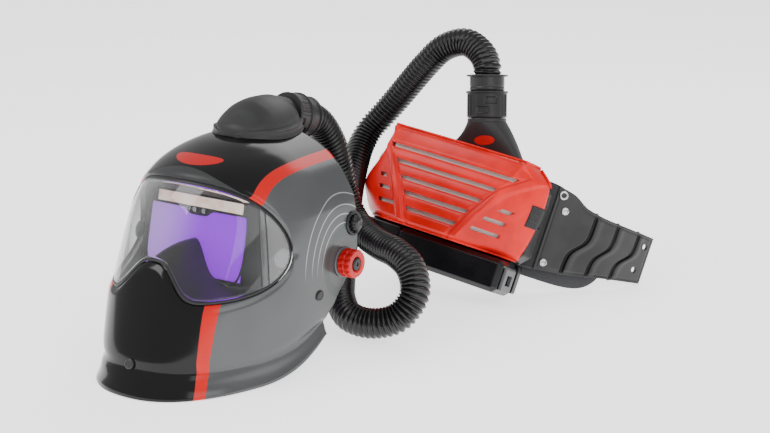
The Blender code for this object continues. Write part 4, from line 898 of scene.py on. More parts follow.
def cover_face():
    """Grid of the cover's face and the faces that stay."""
    heights = [np.linspace(COVER_BOTTOM, COVER_TOP, 109)]
    for z in SLOT_HEIGHTS + tuple(row[0] for row in SIDE_SLOTS):
        heights.append(np.array([z - SLOT_HEIGHT / 2, z + SLOT_HEIGHT / 2]))
    z = np.unique(np.round(np.concatenate(heights), 2))
    z = z[np.concatenate([[True], np.diff(z) > 0.15])][:, None]
    # across: share 0 to 1 inside the band, 1 to 2 from the band to the rim
    across = np.concatenate([np.linspace(0, 1, 60), 1 + np.linspace(0, 1, 34)[1:]])
    halves = []
    for side, column in ((-1, 1), (1, 2)):
        edge = smooth_read(COVER_RIM, column, z)
        inner = np.minimum(smooth_read(SWOOSH, 1, z), edge - 7.0)
        x = np.where(across[None] <= 1, inner * across, inner + (edge - inner) * (across - 1))
        y = cover_field(x, z, edge)
        from_band = x - inner
        thick = 4.6 + 2.2 * np.clip((z + 50.0) / 80.0, 0, 1)
        band = 3.0 * np.exp(-((np.abs(from_band - 1.0) / thick) ** 6))
        y = np.maximum(y - band, -3.0)
        rows = np.asarray(SLOT_HEIGHTS)
        near = np.min(np.abs(z - rows[None]), 1, keepdims=True)
        bar = np.clip((near - SLOT_HEIGHT / 2) / 5.0, 0, 1)
        bulge = 1.6 * np.sqrt(np.clip(1 - (1 - bar) ** 2, 0, 1)) * np.clip((50.0 - z) / 14.0, 0, 1) ** 2
        y = y - bulge * np.clip((-from_band - 7) / 3, 0, 1) + 0.0
        end = np.clip(1 - (COVER_TOP - z) / 4.5, 0, 1) ** 2 * 4.0
        low = np.clip(1 - (z - COVER_BOTTOM) / 5.0, 0, 1) ** 2 * 5.0
        y = y + end + low
        halves.append((side * x, y, from_band, edge - x))
    join = [np.concatenate([halves[0][k][:, :0:-1], halves[1][k]], 1) for k in range(4)]
    x, y, from_band, from_edge = join
    points = np.stack([x, y, z + 0 * x], -1)
    mid = [(a[:-1, :-1] + a[1:, 1:]) / 2 for a in (x, from_band, from_edge, z + 0 * x)]
    keep = np.ones(mid[0].shape, bool)
    half = SLOT_HEIGHT / 2
    for slot in SLOT_HEIGHTS:
        keep &= ~((np.abs(mid[3] - slot) < half) & (mid[1] < -9))
    for slot, start, stop in SIDE_SLOTS:
        keep &= ~((np.abs(mid[3] - slot) < half) & (mid[1] > start) & (mid[1] < stop))
    return points, keep


cover_points, cover_keep = cover_face()
cover = piece("cover_face", on_blower(cover_points), COVER_RED, "filter_cover", keep=cover_keep,
              sharp=38)
wall(cover, 2.5)
edge_points = np.concatenate([cover_points[:, 0], cover_points[-1, 1:], cover_points[-2::-1, -1],
                              cover_points[0, -2:0:-1]])
back_line = np.array([0.0, 1.0, 0.0])
share_back = np.linspace(0, 1, 12)[:, None, None]
depth_left = np.maximum(COVER_DEPTH - edge_points[:, 1:2], 0)[None] * share_back
rim_points = edge_points[None] + depth_left * back_line
rim = piece("cover_rim", on_blower(rim_points), COVER_RED, "filter_cover", wrap_columns=True, sharp=38)
wall(rim, 2.5, 1.0)
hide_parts("filter_cover")
screen_points = cover_points[6:-6:2, 4:-4:2] + (0.0, 6.5, 0.0)
print("cover faces:", len(cover.data.polygons))

# %% [markdown]
# ## The outlet cone
# The outlet starts as a squarish slot in the housing's roof and becomes a round collar along the
# outlet's own axis. Power, half sizes and tilt all change together along it.


# %% The outlet
def outlet_grid():
    """Rings of a superellipse whose power falls from 5 to 2 as it turns onto the axis."""
    half_x, half_y, length, collar = 54.0, 9.0, 40.0, 23.0
    share = np.linspace(0, 1, 48)
    turn = np.linspace(0, 2 * math.pi, 128, endpoint=False)
    ease = share**0.7
    power = (5 - 3 * ease)[:, None]
    wide = (half_x + (collar - half_x) * ease)[:, None]
    deep = (half_y + (collar - half_y) * ease)[:, None]
    c, s = np.abs(np.cos(turn))[None], np.abs(np.sin(turn))[None]
    reach = ((c / wide) ** power + (s / deep) ** power) ** (-1 / power)
    flat = np.stack([reach * np.cos(turn), reach * np.sin(turn), 0 * reach], -1)
    tilt = np.array(Vector((0, 0, 1)).rotation_difference(Vector(tuple(OUTLET_AXIS))).to_matrix())
    level = np.eye(3)[None] + (tilt - np.eye(3))[None] * share[:, None, None]
    way = np.array([0, 0, 1.0])[None] * (1 - ease)[:, None] + OUTLET_AXIS[None] * ease[:, None]
    middle = OUTLET_AT[None] + way * (length * share)[:, None]
    return np.einsum("kab,kjb->kja", level, flat) + middle[:, None]


cone_points = outlet_grid()
badge_off = cone_points - (OUTLET_AT + OUTLET_AXIS * 19.5 + (4.5, 0.0, 0.0))
badge = 1 - np.hypot(badge_off[..., 0] / 13.0, (badge_off @ OUTLET_AXIS) / 5.6)
badge = np.where(badge_off[..., 1] < 0, badge, -1.0)
cone_finish = plastic("duct_grey_badge", (0.022, 0.022, 0.023), 0.50, 0.07, Specular_IOR_Level=0.4)
plain = Reading(cone_finish, cone_finish.shader.inputs["Base Color"].links[0].from_socket)
cone_finish.put("Base Color", cone_finish.blend(plain, (0.56, 0.005, 0.006),
                                                cone_finish.step(cone_finish.stored("badge"), -0.05, 0.05)))
cone = piece("outlet_cone", on_blower(cone_points), cone_finish.material, "respirator", wrap_columns=True,
             sharp=50, fields={"badge": badge})
wall(cone, 2.0)
collar_profile = dense([(14.2, 39.0), (21.5, 39.0), (22.9, 40.2), (22.9, 43.4), (22.4, 44.2), (17.0, 44.2),
                        (17.0, 88.0), (14.2, 88.0)], 1.0)
collar = piece("outlet_collar", on_blower(turned(collar_profile, 96, OUTLET_AT, OUTLET_AXIS)), DUCT_GREY,
               "respirator", wrap_rows=True, wrap_columns=True, closed=True, sharp=40)
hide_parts("outlet_duct")

# %% [markdown]
# ## The belt's wings
# A wing is a sheet bent round a cylinder of 214 mm. Its top edge falls and its bottom edge rises
# towards the tip. Three S-shaped channels are pressed into it. The round holes at the tip are made by
# dropping the faces inside each circle and moving the points beside it onto the circle.

# %% The belt
BELT_RADIUS, BELT_THICKNESS, HOUSING_BACK_Y = 210.0, 3.5, 72.0
BELT_CENTRE_Y = HOUSING_BACK_Y + 0.3 + BELT_RADIUS
WING_START, WING_STOP = math.radians(28.5), math.radians(66.0)
WING_TOP = np.array([(0.0, 46.0), (0.14, 42.0), (0.30, 31.0), (0.5, 27.0), (1.0, 25.0)])
WING_BOTTOM = np.array([(0.0, -56.0), (0.3, -50.0), (0.6, -41.0), (1.0, -31.8)])
WING_RADIUS = BELT_RADIUS + 0.3 + BELT_THICKNESS


def on_belt(angle, z, radius):
    """A point of the belt's cylinder, in blower millimetres."""
    angle, z, radius = np.broadcast_arrays(angle, z, radius)
    return np.stack([radius * np.sin(angle), BELT_CENTRE_Y - radius * np.cos(angle), z], -1)


def wing_grid(side):
    """Rows up the wing, columns along it; channels are pressed in and holes are left out."""
    share = np.linspace(0, 1, 170)[None, :]
    level = np.linspace(0, 1, 96)[:, None]
    low, high = smooth_read(WING_BOTTOM, 1, share), smooth_read(WING_TOP, 1, share)
    angle = WING_START + (WING_STOP - WING_START) * share + 0 * level
    z = low + (high - low) * level
    pressed, groove = np.zeros_like(z), np.zeros_like(z)
    length = (WING_STOP - WING_START) * WING_RADIUS
    for centre in (0.31, 0.53, 0.755):
        middle = centre + 0.075 * np.tanh((level - 0.42) / 0.13)
        off = (share - middle) * length
        pressed += 2.6 * np.exp(-((off / 2.0) ** 4)) - 1.2 * np.exp(-(((off - 5.0) / 4.0) ** 2))
        # Each channel's floor is also marked for painted shade.
        groove += np.exp(-((off / 2.4) ** 6))
    border = np.minimum(np.minimum(level, 1 - level) * (high - low), np.minimum(share, 1 - share) * length)
    pressed = pressed * np.clip(border / 5.0, 0, 1) + 0.5 * np.exp(-((border - 3.2) / 0.8) ** 2)
    along = angle * WING_RADIUS
    keep = np.ones((95, 169), bool)
    for degrees, height in ((63.5, 12.0), (62.0, -18.0)):
        centre = math.radians(degrees) * WING_RADIUS
        far = np.hypot(along - centre, z - height)
        snap = np.abs(far - 3.6) < 0.72
        factor = np.where(snap, 3.6 / np.maximum(far, 0.01), 1.0)
        along, z = centre + (along - centre) * factor, height + (z - height) * factor
        pressed = pressed * (far > 7.5)
        inside = far < 3.6 + 0.72
        keep &= ~(inside[:-1, :-1] & inside[1:, :-1] & inside[:-1, 1:] & inside[1:, 1:])
    points = on_belt(along / WING_RADIUS, z, WING_RADIUS - pressed)
    groove = groove * np.clip((border - 1.5) / 2.0, 0, 1)
    if side < 0:
        points = points * (-1, 1, 1)
        points, keep, groove = points[:, ::-1], keep[:, ::-1], groove[:, ::-1]
    return points, keep, groove


# The pressed channels are painted nearly black: painted shade in the grooves.
wing_finish = plastic("belt_black_pressed", (0.030, 0.030, 0.031), 0.36, 0.06, Specular_IOR_Level=0.4)
plain = Reading(wing_finish, wing_finish.shader.inputs["Base Color"].links[0].from_socket)
wing_finish.put("Base Color", wing_finish.blend(plain, (0.002, 0.002, 0.002),
                                                wing_finish.step(wing_finish.stored("groove"), 0.2, 0.6)))
for label, side in (("left", 1), ("right", -1)):
    wing_points, wing_keep, wing_groove_shade = wing_grid(side)
    wing = piece("wing_" + label, on_blower(wing_points), wing_finish.material, "respirator", keep=wing_keep,
                 sharp=50, fields={"groove": wing_groove_shade})
    wall(wing, BELT_THICKNESS)
    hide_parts("belt_wing_" + label)
    for place, degrees, z in (("upper", 32.5, 20.0), ("lower", 31.0, -45.0)):
        angle = side * math.radians(degrees)
        out = (math.sin(angle), -math.cos(angle), 0.0)
        dome = dense([(4.6, -0.2), (4.6, 0.5), (4.2, 1.0), (3.4, 1.3), (2.9, 0.9), (1.6, 0.75), (0.0, 0.7)], 0.3)
        rivet = piece("rivet_head_%s_%s" % (place, label),
                      on_blower(turned(dome, 40, on_belt(angle, z, WING_RADIUS), out)), STEEL,
                      "respirator", wrap_columns=True)
        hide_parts("rivet_%s_%s" % (place, label))
    angle = side * math.radians(30.5)
    out = (math.sin(angle), -math.cos(angle), 0.0)
    roll = [(4.1 + 1.3 * math.cos(a), 0.6 + 1.1 * math.sin(a)) for a in np.linspace(0, 2 * math.pi, 14)[:-1]]
    eyelet = piece("eyelet_ring_" + label, on_blower(turned(roll, 48, on_belt(angle, 37.0, WING_RADIUS), out)),
                   STEEL, "respirator", wrap_rows=True, wrap_columns=True)
    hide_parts("eyelet_" + label)

plate_angle, plate_z = np.linspace(-1, 1, 80)[None] * math.radians(34), np.linspace(-58, 48, 40)[:, None]
plate_z = plate_z * (1 - 0.98 * (plate_angle / math.radians(34)) ** 14) ** 0.3
plate = piece("plate", on_blower(on_belt(plate_angle, plate_z, BELT_RADIUS)), BELT_BLACK, "respirator",
              sharp=50)
wall(plate, BELT_THICKNESS)
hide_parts("belt_plate")

# %% [markdown]
# ## Woven cloth and the pads
# The cloth's weave is two sets of waves across each other, at about a thread a millimetre. A pad is
# crowned: its two faces part in the middle and close at the seam round its edge. The thickness at a
# point is a power of how far it lies from the seam.

# %% Cloth and pads
def cloth(name, colour, thread, roughness=0.9):
    """Warp and weft as crossing waves, with a soft sheen and a broad drift of colour."""
    made = Finish(name, roughness, 0.0, 0.0)
    made.put("Sheen Weight", 0.3)
    wave = {"wave_type": "BANDS", "bands_direction": "X"}
    warp = made.node("ShaderNodeTexWave", wave, {"Vector": made.where((thread,) * 3), "Scale": 1.0}, "Fac")
    wave = {"wave_type": "BANDS", "bands_direction": "Z"}
    weft = made.node("ShaderNodeTexWave", wave, {"Vector": made.where((thread,) * 3), "Scale": 1.0}, "Fac")
    weave = made.join("MAXIMUM", warp, weft)
    broad = made.noise(30.0)
    darker = tuple(c * 0.6 for c in colour)
    made.put("Base Color", made.blend(darker, colour, weave * 0.7 + broad * 0.4))
    made.relief(weave, 0.25, 0.6)
    return made.material


PAD_CLOTH = cloth("pad_cloth", (0.050, 0.050, 0.055), 330.0)
SEAL_CLOTH = cloth("seal_cloth", (0.045, 0.045, 0.048), 420.0)


def pad_grid(place, width, height, thickness, rows=40, columns=90, channels=0, crook=(14, 14)):
    """Front and back of a pad: they part as (1-u^6)(1-v^6) to a power, with sewn channels.

    crook gives the powers of |u| by which its lower and its upper edge draw in towards the ends.
    """
    u, v = np.linspace(-1, 1, columns)[None], np.linspace(-1, 1, rows)[:, None]
    crown = ((1 - u**6) * (1 - v**6)) ** 0.45
    if channels:
        wave = np.abs(np.cos(math.pi * channels * u / 2 + math.pi / 2 * (channels % 2)))
        crown = crown * (0.72 + 0.28 * wave**0.5)
    lower = np.sqrt(1 - 0.98 * np.abs(u) ** crook[0])
    upper = (1 - 0.98 * np.abs(u) ** crook[1]) ** 0.8
    level = v * np.where(v < 0, lower, upper) * height
    front = place(u * width + 0 * v, level, thickness * crown)
    back = place(u * width + 0 * v, level, -0.12 * thickness * crown)
    return np.concatenate([front, back[::-1]])


def lumbar_place(x, z, out):
    """Behind the belt plate: x runs round the belt, out points to the wearer's back."""
    radius = BELT_RADIUS - BELT_THICKNESS - 3.6 - out
    return on_belt(x / BELT_RADIUS, z - 14.0, radius)


lumbar_grid = pad_grid(lumbar_place, 194.0, 53.0, 10.0, columns=150, channels=7, crook=(10, 6))
lumbar = piece("lumbar_cushion", on_blower(lumbar_grid), PAD_CLOTH, "respirator", closed=True, sharp=70)
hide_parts("lumbar_pad")

HEAD_FRONT, HEAD_REAR, HEAD_HALF = -74.0, 100.0, 80.0
PIVOT = np.array([0.0, 85.0, 103.0])


def brow_place(s, z, out):
    """Inside the front of the head band: s runs along the band's oval, out points to the brow."""
    turn = s
    half = (HEAD_REAR - HEAD_FRONT) / 2
    rear = (HEAD_REAR + HEAD_FRONT) / 2
    inset = 2.9 + out
    turn, z, inset = np.broadcast_arrays(turn, z, inset)
    y = rear - (half - inset) * np.cos(turn)
    share = (y - HEAD_FRONT) / (HEAD_REAR - HEAD_FRONT)
    return np.stack([(HEAD_HALF - inset) * np.sin(turn), y, z + 46.0 - 24.0 * share], -1) + PIVOT


brow_grid = pad_grid(brow_place, 0.86, 13.5, 5.0, rows=24, columns=100)
brow = piece("brow_pad", on_helmet(brow_grid), PAD_CLOTH, "headgear", closed=True, sharp=70)
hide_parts("sweatband")


# %% The face seal
def seal_grid():
    """A strip of cloth round the chin: out at the shell, in to an elastic hem, gathered in small folds."""
    angle = np.linspace(-0.96, 0.96, 260)[None] * math.pi / 2
    across = np.linspace(0, 1, 26)[:, None]
    outer = shell_surface(angle, float(travel_at(25.0)), 0.0, 5.0)
    towards = np.array([0.0, SECTION_CENTRE_Y - 5.0, 0.0])
    flat = outer * (1 - 0.20 * across[..., None]) + towards * 0.20 * across[..., None]
    sag = -9.0 * across**0.8
    folds = 0.9 * np.sin(angle * 46 + 0.6 * np.sin(angle * 9)) * across * (1 - across**6)
    flat[..., 2] = outer[..., 2] + sag + folds
    return flat


seal_points = seal_grid()
seal = piece("chin_seal", on_helmet(seal_points), SEAL_CLOTH, "respirator", sharp=80)
wall(seal, 0.8)
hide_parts("face_seal")
cell_a = np.linalg.norm(np.cross(seal_points[1:, :-1] - seal_points[:-1, :-1],
                                 seal_points[:-1, 1:] - seal_points[:-1, :-1]), axis=-1)
hem_turn = np.linspace(0, 2 * math.pi, 10, endpoint=False)
hem_line = seal_points[-1]
hem_across, hem_over = steady_frames(hem_line)
hem_cos, hem_sin = np.cos(hem_turn)[None, :, None], np.sin(hem_turn)[None, :, None]
hem_ring = hem_across[:, None] * hem_cos + hem_over[:, None] * hem_sin
piece("chin_seal_hem", on_helmet(hem_line[:, None] + 1.3 * hem_ring), RUBBER, "respirator",
      wrap_columns=True, caps=True)

# %% [markdown]
# ## The filter behind the lens
# The darkening filter is a coated glass. It is painted bright violet, and pale towards one side, which is a
# painted reflection;
# it is also made to glow a little, which is painted light. A dark hood runs from under the filter out to the
# window's lower edge, with a ridge in its middle for the nose.

# %% The filter, its hood and the bosses
FILTER_AT, FILTER_LEAN = np.array([0.0, -15.5, 136.0]), 13.0


def on_filter(points):
    """Points in the leaning cassette's own frame to metres."""
    return on_helmet(np.asarray(points, float) @ turn_about(0, -FILTER_LEAN).T + FILTER_AT)


def hood_grid():
    """A funnel between two rings: the window's outline in front, the cassette's outline behind.

    The rear ring is a rounded oblong whose lower edge climbs by a bell curve, which is the nose ridge.
    """
    front = window_loop(-2.5, 8.0)
    u = np.sin(np.linspace(-math.pi / 2, math.pi / 2, len(front) // 2, endpoint=False))
    x = 64.0 * np.concatenate([u, -u])
    square = np.sqrt(np.maximum(1 - np.abs(u) ** 14, 0))
    ridge = 38.0 * np.exp(-((np.abs(64.0 * u) / 18.0) ** 2))
    z = np.concatenate([43.5 * square, (-41.0 + ridge) * square])
    back = np.stack([x, np.full_like(x, -1.6), z], -1) @ turn_about(0, -FILTER_LEAN).T + FILTER_AT
    f = np.linspace(0, 1, 40)[:, None]
    points = front[None] * (1 - f[..., None]) + back[None] * f[..., None]
    lower = (z < 0)[None] * 1.0
    near = np.exp(-((np.abs(x) / 20.0) ** 2))[None]
    points[..., 2] += np.sin(math.pi * f) * (5.0 * near - 4.0 * (1 - near)) * lower
    return points


hood = piece("nose_hood", on_helmet(hood_grid()), SATIN_BLACK, "respirator", wrap_columns=True, sharp=180)
wall(hood, 1.2)
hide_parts("nose_shield")

violet = Finish("filter_coating", 0.22, 0.0, 0.0, Specular_IOR_Level=0.12)
side_share = violet.node("ShaderNodeSeparateXYZ", {}, {"Vector": violet.where()}, "X")
# The pale side is a painted reflection, set by position across the filter.
pale = 1 - violet.step(side_share, -0.108, -0.048)
tint_and_glow = violet.blend((0.34, 0.0, 0.92), (0.56, 0.26, 0.95), pale)
# The emission makes the filter glow: painted light.
violet.put("Base Color", tint_and_glow).put("Emission Color", tint_and_glow).put("Emission Strength", 0.60)
violet.put("Roughness", violet.noise(40.0) * 0.1 + 0.17)
VIOLET = violet.material


def coating_grid():
    """The coated glass: an oblong whose top edge steps down in the middle, round the two sensors."""
    u, v = np.linspace(-1, 1, 90)[None], np.linspace(0, 1, 40)[:, None]
    x = 63.0 * u + 0 * v
    step_down = 6.0 / (1 + np.exp((np.abs(x) - 15.0) / 1.6))
    z = -38.0 + (27.0 - step_down + 38.0) * v
    return np.stack([x, -0.7 - 0.9 * (1 - u**2) + 0 * v, z], -1)


coating = piece("coated_glass", on_filter(coating_grid()), VIOLET, "respirator", sharp=180)
wall(coating, 0.4, 1.0)
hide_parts("darkening_filter")

solar = Finish("solar_cells", 0.32, 0.0, 0.2)
cells = solar.node("ShaderNodeTexWave", {"wave_type": "BANDS", "bands_direction": "X"},
                   {"Vector": solar.where((90.0,) * 3), "Scale": 1.0}, "Fac")
beige = solar.blend((0.62, 0.43, 0.36), (0.78, 0.62, 0.54), solar.step(solar.noise(60.0), 0.35, 0.65))
solar.put("Base Color", solar.blend(beige, (0.40, 0.28, 0.24), solar.step(cells, 0.93, 0.99) * 0.5))
# The solar cells glow in their own beige: painted light.
solar.put("Emission Color", beige).put("Emission Strength", 1.1)
SOLAR = solar.material
boss_finish = plastic("pale_grey", (0.42, 0.42, 0.43), 0.30, 0.02)


def disc(name, at, out, profile, finish, body, place, around=48, relief=None):
    """A turned piece that stands on a surface."""
    grid = place(turned(dense(profile, 0.4), around, at, out, relief))
    return piece(name, grid, finish, body, wrap_columns=True, sharp=42)


def off_shell(degrees, height, depth, back=0.0):
    """A point at a depth under the shell, and the way out of it there."""
    angle, travel = math.radians(degrees), float(travel_at(height))
    here = shell_surface(angle, travel, back, depth)
    beside = shell_surface(angle + 0.01, travel, back, depth) - shell_surface(angle - 0.01, travel, back, depth)
    above = shell_surface(angle, travel + 1, back, depth) - shell_surface(angle, travel - 1, back, depth)
    if back:
        beside = np.array([0, math.copysign(1, degrees), 0.0])
    out = np.cross(beside, above)
    out /= np.linalg.norm(out)
    if out @ (here - np.array([0, SECTION_CENTRE_Y, here[2]])) < 0:
        out = -out
    return here, out


for label, side in (("left", 1), ("right", -1)):
    at, out = off_shell(59.0 * side, 124.0, 5.6)
    profile = [(0, 0.8), (5.0, 0.7), (8.5, 0.2), (9.6, -0.8), (9.6, -2.0), (0, -2.0)]
    disc("side_boss_" + label, at, out, profile, boss_finish.material, "respirator", on_helmet)

# %% Plugs, knobs and their seats
plugs = (("chin_plug", 0.0, 30.0), ("side_plug_left", 83.0, 76.0), ("side_plug_right", -83.0, 76.0))
for node, degrees, height in plugs:
    at, out = off_shell(degrees, height, 0.0)
    profile = [(5.6, -0.8), (5.6, 1.0), (5.1, 1.7), (4.2, 2.0), (3.6, 1.6), (1.2, 1.7), (0, 1.7)]
    plug = disc(node + "_cap", at, out, profile, SATIN_BLACK, "respirator", on_helmet)
    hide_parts(node)


def lobes(count, deep, inner, low, high):
    """Scallops round the outer wall only, between two distances."""
    def relief(turn, along, radius):
        wave = 0.5 + 0.5 * np.cos(count * turn)
        on_wall = (radius > inner) * np.clip((along - low) / 1.2, 0, 1) * np.clip((high - along) / 1.2, 0, 1)
        return -deep * (1 - wave**0.6) * on_wall
    return relief


for label, side in (("left", 1), ("right", -1)):
    out = (side, 0.0, 0.0)
    profile = [(5.9, 112.2), (14.2, 112.2), (15.0, 113.4), (15.0, 118.6), (14.0, 119.4), (14.0, 120.2),
               (15.0, 121.0), (15.0, 125.4), (13.6, 126.8), (9.0, 127.0), (7.6, 126.2), (7.2, 123.4),
               (5.9, 123.4)]
    grid = on_helmet(turned(dense(profile, 0.45), 196, PIVOT, out, lobes(14, 1.5, 13.0, 112.4, 126.6)))
    knob = piece("swing_knob_" + label, grid, KNOB_RED, "pivot_knob_" + label, wrap_rows=True,
                 wrap_columns=True, closed=True, sharp=42)
    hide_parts("pivot_knob_" + label)
    profile = [(0, 126.2), (1.5, 126.2), (2.2, 127.4), (4.6, 127.6), (6.3, 127.0), (6.9, 125.6), (6.9, 124.0),
               (0, 124.0)]
    hub = disc("swing_cap_" + label, PIVOT, out, profile, SATIN_BLACK, "pivot_knob_" + label,
               on_helmet)
    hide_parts("pivot_knob_%s_cap" % label)
    roll = [(13.5 + 2.6 * math.cos(a), 110.2 + 1.2 * math.sin(a)) for a in np.linspace(0, 2 * math.pi, 20)[:-1]]
    seat = piece("knob_seat_" + label, on_helmet(turned(roll, 72, PIVOT, out)), SMOKE_GREY, "respirator",
                 wrap_rows=True, wrap_columns=True)

shade_at, shade_out = off_shell(90.0, 140.0, 0.0, 0.86)
profile = [(0, 7.6), (3.0, 7.9), (6.6, 7.2), (8.4, 5.6), (9.0, 3.4), (9.0, 0.8), (0, 0.8)]
dial = disc("shade_dial", shade_at, shade_out, profile, GLOSS_BLACK, "shade_knob", on_helmet, 144,
            lobes(12, 1.1, 6.0, 0.6, 7.4))
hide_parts("shade_knob")
roll = [(11.3 + 1.7 * math.cos(a), 0.5 + 1.5 * math.sin(a)) for a in np.linspace(0, 2 * math.pi, 20)[:-1]]
piece("shade_seat", on_helmet(turned(roll, 72, shade_at, shade_out)), SATIN_BLACK, "respirator",
      wrap_rows=True, wrap_columns=True)

# %% [markdown]
# ## The cover latch
# The latch beside the cover carries ribs for the thumb, and a ribbed plate lies over the cover's edge beside it.
# The battery's own latch, which has a square hole, keeps the frame's solid.

# %% The ribbed latch
LATCH_X, LATCH_LOW, LATCH_HIGH = 109.0, -9.7, 15.7


def latch_grid():
    """A strip that bows out, with ribs as a clipped wave up its length."""
    z = np.linspace(LATCH_LOW, LATCH_HIGH, 120)[:, None]
    y = np.linspace(51.3, 64.7, 24)[None]
    middle = 1 - ((y - 58) / 6.7) ** 4
    ends = 1 - ((z - 3.0) / 12.7) ** 6
    ribs = np.clip(0.5 + 0.9 * np.cos(z * 2.6), 0, 1) * (np.abs(z - 3.0) < 10)
    x = LATCH_X - 2.2 + 2.2 * (middle * ends) ** 0.4 + 0.7 * ribs * middle
    return np.stack([x, y + 0 * z, z + 0 * y], -1)


def grip_grid():
    """A ribbed plate that lies over the cover's edge beside the latch."""
    z = np.linspace(-14.0, 12.0, 130)[:, None]
    edge = smooth_read(COVER_RIM, 2, z)
    share = np.linspace(0, 1, 20)[None]
    x = edge - 9.5 + 10.6 * share
    y = cover_field(np.minimum(x, edge), z, edge)
    ribs = 0.5 * np.clip(0.5 + np.cos(z * 2.9), 0, 1)
    rim_off = np.minimum(np.minimum(share, 1 - share) * 9.5, np.minimum(z + 14.0, 12.0 - z))
    lift = 1.5 * np.clip(rim_off / 1.4, 0, 1) ** 0.5 + ribs * (rim_off > 1.4)
    return np.stack([x + 0.5 * lift, y - lift, z + 0 * x], -1)


piece("cover_grip", on_blower(grip_grid()), SATIN_BLACK, "filter_cover", sharp=50)
latch = piece("thumb_latch", on_blower(latch_grid()), SATIN_BLACK, "cover_latch", sharp=50)
wall(latch, 2.2)
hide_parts("cover_latch")

# %% [markdown]
# ## Finishes of the frame's own solids
# Pieces whose shape is already right keep it. Each takes a finish, and some have their edges rounded.

# %% The remaining finishes
mesh_steel = Finish("arrestor_mesh", 0.35, 0.0, 0.0)
place = mesh_steel.where((700.0,) * 3)
across = mesh_steel.node("ShaderNodeTexWave", {"bands_direction": "X"}, {"Vector": place, "Scale": 1.0}, "Fac")
upward = mesh_steel.node("ShaderNodeTexWave", {"bands_direction": "Z"}, {"Vector": place, "Scale": 1.0}, "Fac")
wires = mesh_steel.join("MAXIMUM", across, upward)
mesh_steel.put("Base Color", mesh_steel.blend((0.55, 0.51, 0.46), (0.88, 0.85, 0.80), wires))
mesh_steel.relief(wires, 0.2, 0.5)
screen = piece("cover_screen", on_blower(screen_points), mesh_steel.material, "filter_cover", sharp=60)
wall(screen, 0.6)

paper = Finish("filter_paper", 0.9)
pleats = paper.node("ShaderNodeTexWave", {"bands_direction": "X"}, {"Vector": paper.where((170.0,) * 3),
                                                                    "Scale": 1.0}, "Fac")
# The paper is painted darker in the folds of its pleats: painted shade, over the bump.
paper.put("Base Color", paper.blend((0.55, 0.53, 0.48), (0.82, 0.80, 0.75), pleats))
paper.relief(pleats, 1.5, 0.8)

board = Finish("circuit_board", 0.35, 0.0, 0.2)
tracks = board.node("ShaderNodeTexVoronoi", {"distance": "CHEBYCHEV"}, {"Vector": board.where(), "Scale": 260.0},
                    "Distance")
board.put("Base Color", board.blend((0.015, 0.13, 0.04), (0.05, 0.30, 0.10), board.step(tracks, 0.2, 0.3)))
light = Finish("status_lens", 0.15, 0.0, 0.4)
light.put("Base Color", light.blend((0.20, 0.55, 0.25), (0.30, 0.75, 0.35), light.noise(900.0)))
PLASTIC_OF = {
    "filter_housing": SATIN_BLACK, "darkening_filter": VIOLET, "solar_strip": SOLAR,
    "light_sensor_left": STEEL, "light_sensor_right": STEEL, "headband": GEAR_GREY,
    "crown_strap_front": GEAR_GREY, "crown_strap_rear": GEAR_GREY, "side_arm_left": GEAR_GREY,
    "side_arm_right": GEAR_GREY, "ratchet_box": GEAR_GREY, "ratchet_knob": SMOKE_GREY,
    "blower_housing": SATIN_BLACK, "lower_housing": GLOSS_BLACK, "battery_pack": GLOSS_BLACK,
    "battery_latch": SMOKE_GREY, "spark_arrestor": mesh_steel.material, "particle_filter": paper.material,
    "filter_seal": RUBBER, "inlet_plate": GEAR_GREY, "fan_volute": GEAR_GREY, "impeller": SMOKE_GREY,
    "fan_motor": STEEL, "control_board": board.material, "control_panel": SMOKE_GREY,
    "power_button": KNOB_RED, "status_light": light.material}
ROUNDED = {"filter_housing": 0.8, "headband": 0.5, "crown_strap_front": 0.5, "crown_strap_rear": 0.5,
           "side_arm_left": 0.6, "side_arm_right": 0.6, "ratchet_box": 0.8, "ratchet_knob": 0.7,
           "blower_housing": 2.2, "lower_housing": 2.6, "battery_pack": 1.6, "battery_latch": 0.7,
           "control_panel": 0.4, "power_button": 0.6}
for node, finish in PLASTIC_OF.items():
    for held in frame_nodes[node].material_slots:
        held.material = finish
for node, millimetres in ROUNDED.items():
    soften(frame_nodes[node], millimetres, 3)
BEHIND = {"helmet_shell": shell_paint.material, "cover_lens": CLEAR, "lens_frame": SATIN_BLACK,
          "air_duct": DUCT_GREY, "outlet_duct": DUCT_GREY, "filter_cover": COVER_RED, "breathing_hose": RUBBER,
          "hose_cuff_helmet": RUBBER, "hose_cuff_blower": RUBBER, "helmet_coupling": SATIN_BLACK,
          "outlet_coupling": SATIN_BLACK, "belt_wing_left": BELT_BLACK, "belt_wing_right": BELT_BLACK,
          "belt_plate": BELT_BLACK, "lumbar_pad": PAD_CLOTH, "sweatband": PAD_CLOTH, "face_seal": SEAL_CLOTH,
          "nose_shield": SATIN_BLACK, "chin_plug": SATIN_BLACK, "side_plug_left": SATIN_BLACK,
          "side_plug_right": SATIN_BLACK, "pivot_knob_left": KNOB_RED, "pivot_knob_right": KNOB_RED,
          "pivot_knob_left_cap": SATIN_BLACK, "pivot_knob_right_cap": SATIN_BLACK, "shade_knob": GLOSS_BLACK,
          "cover_latch": SATIN_BLACK, "rivet_upper_left": STEEL, "rivet_lower_left": STEEL,
          "rivet_upper_right": STEEL, "rivet_lower_right": STEEL, "eyelet_left": STEEL, "eyelet_right": STEEL}
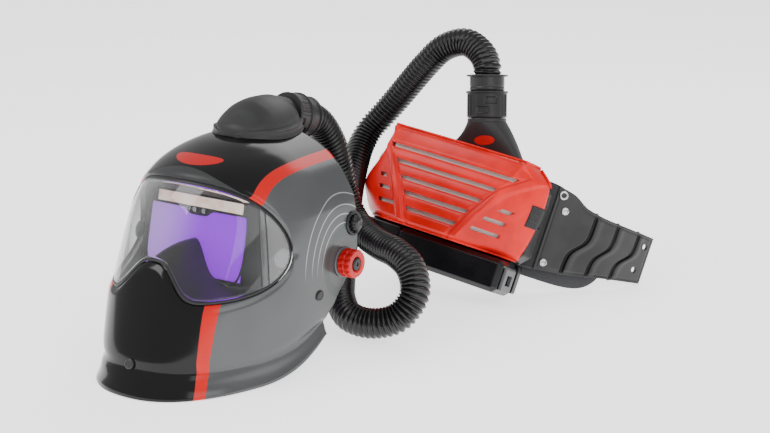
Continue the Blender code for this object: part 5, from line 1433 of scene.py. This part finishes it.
for node, finish in BEHIND.items():
    for held in frame_nodes[node].material_slots:
        held.material = finish
unset = sorted(set(frame_nodes) - set(PLASTIC_OF) - set(BEHIND))
print("nodes without a finish:", unset)

# %% [markdown]
# ## Floor and light
# A pale floor runs into a pale world. Wide soft lights give the black plastic its long highlights,
# because gloss black shows only what it mirrors.


# %% Floor and lights
def floor_piece():
    mesh = bpy.data.meshes.new("floor")
    reach = 6.0
    mesh.from_pydata([(-reach, -reach, 0), (reach, -reach, 0), (reach, reach, 0), (-reach, reach, 0)], [],
                     [(0, 1, 2, 3)])
    finish = Finish("floor_paper", 0.9, Specular_IOR_Level=0.1)
    pale = finish.blend((0.93, 0.93, 0.93), (0.95, 0.95, 0.95), finish.noise(3.0))
    finish.put("Base Color", pale).put("Emission Color", pale).put("Emission Strength", 1.6)
    mesh.materials.append(finish.material)
    made = bpy.data.objects.new("floor", mesh)
    bpy.context.scene.collection.objects.link(made)
    return made


floor_piece()
world = bpy.data.worlds.new("studio")
bpy.context.scene.world = world
world.use_nodes = True
world.node_tree.nodes["Background"].inputs["Color"].default_value = (1.0, 1.0, 1.0, 1.0)
world.node_tree.nodes["Background"].inputs["Strength"].default_value = 0.7


def soft_light(name, at, towards, size, power, colour=(1.0, 1.0, 1.0)):
    data = bpy.data.lights.new(name, "AREA")
    data.shape = "RECTANGLE"
    data.size, data.size_y = size
    data.energy = power * 0.85
    data.color = colour
    lamp = bpy.data.objects.new(name, data)
    bpy.context.scene.collection.objects.link(lamp)
    lamp.location = at
    lamp.rotation_mode = "QUATERNION"
    lamp.rotation_quaternion = (Vector(towards) - Vector(at)).to_track_quat("-Z", "Y")
    return lamp


soft_light("key", (-0.9, -1.3, 1.7), (0.0, 0.0, 0.1), (1.0, 1.0), 22.0)
soft_light("fill", (1.6, -0.8, 1.2), (0.0, 0.0, 0.1), (1.2, 1.2), 12.0)
soft_light("back", (-0.2, 1.5, 1.6), (0.0, 0.0, 0.1), (1.6, 0.8), 16.0)
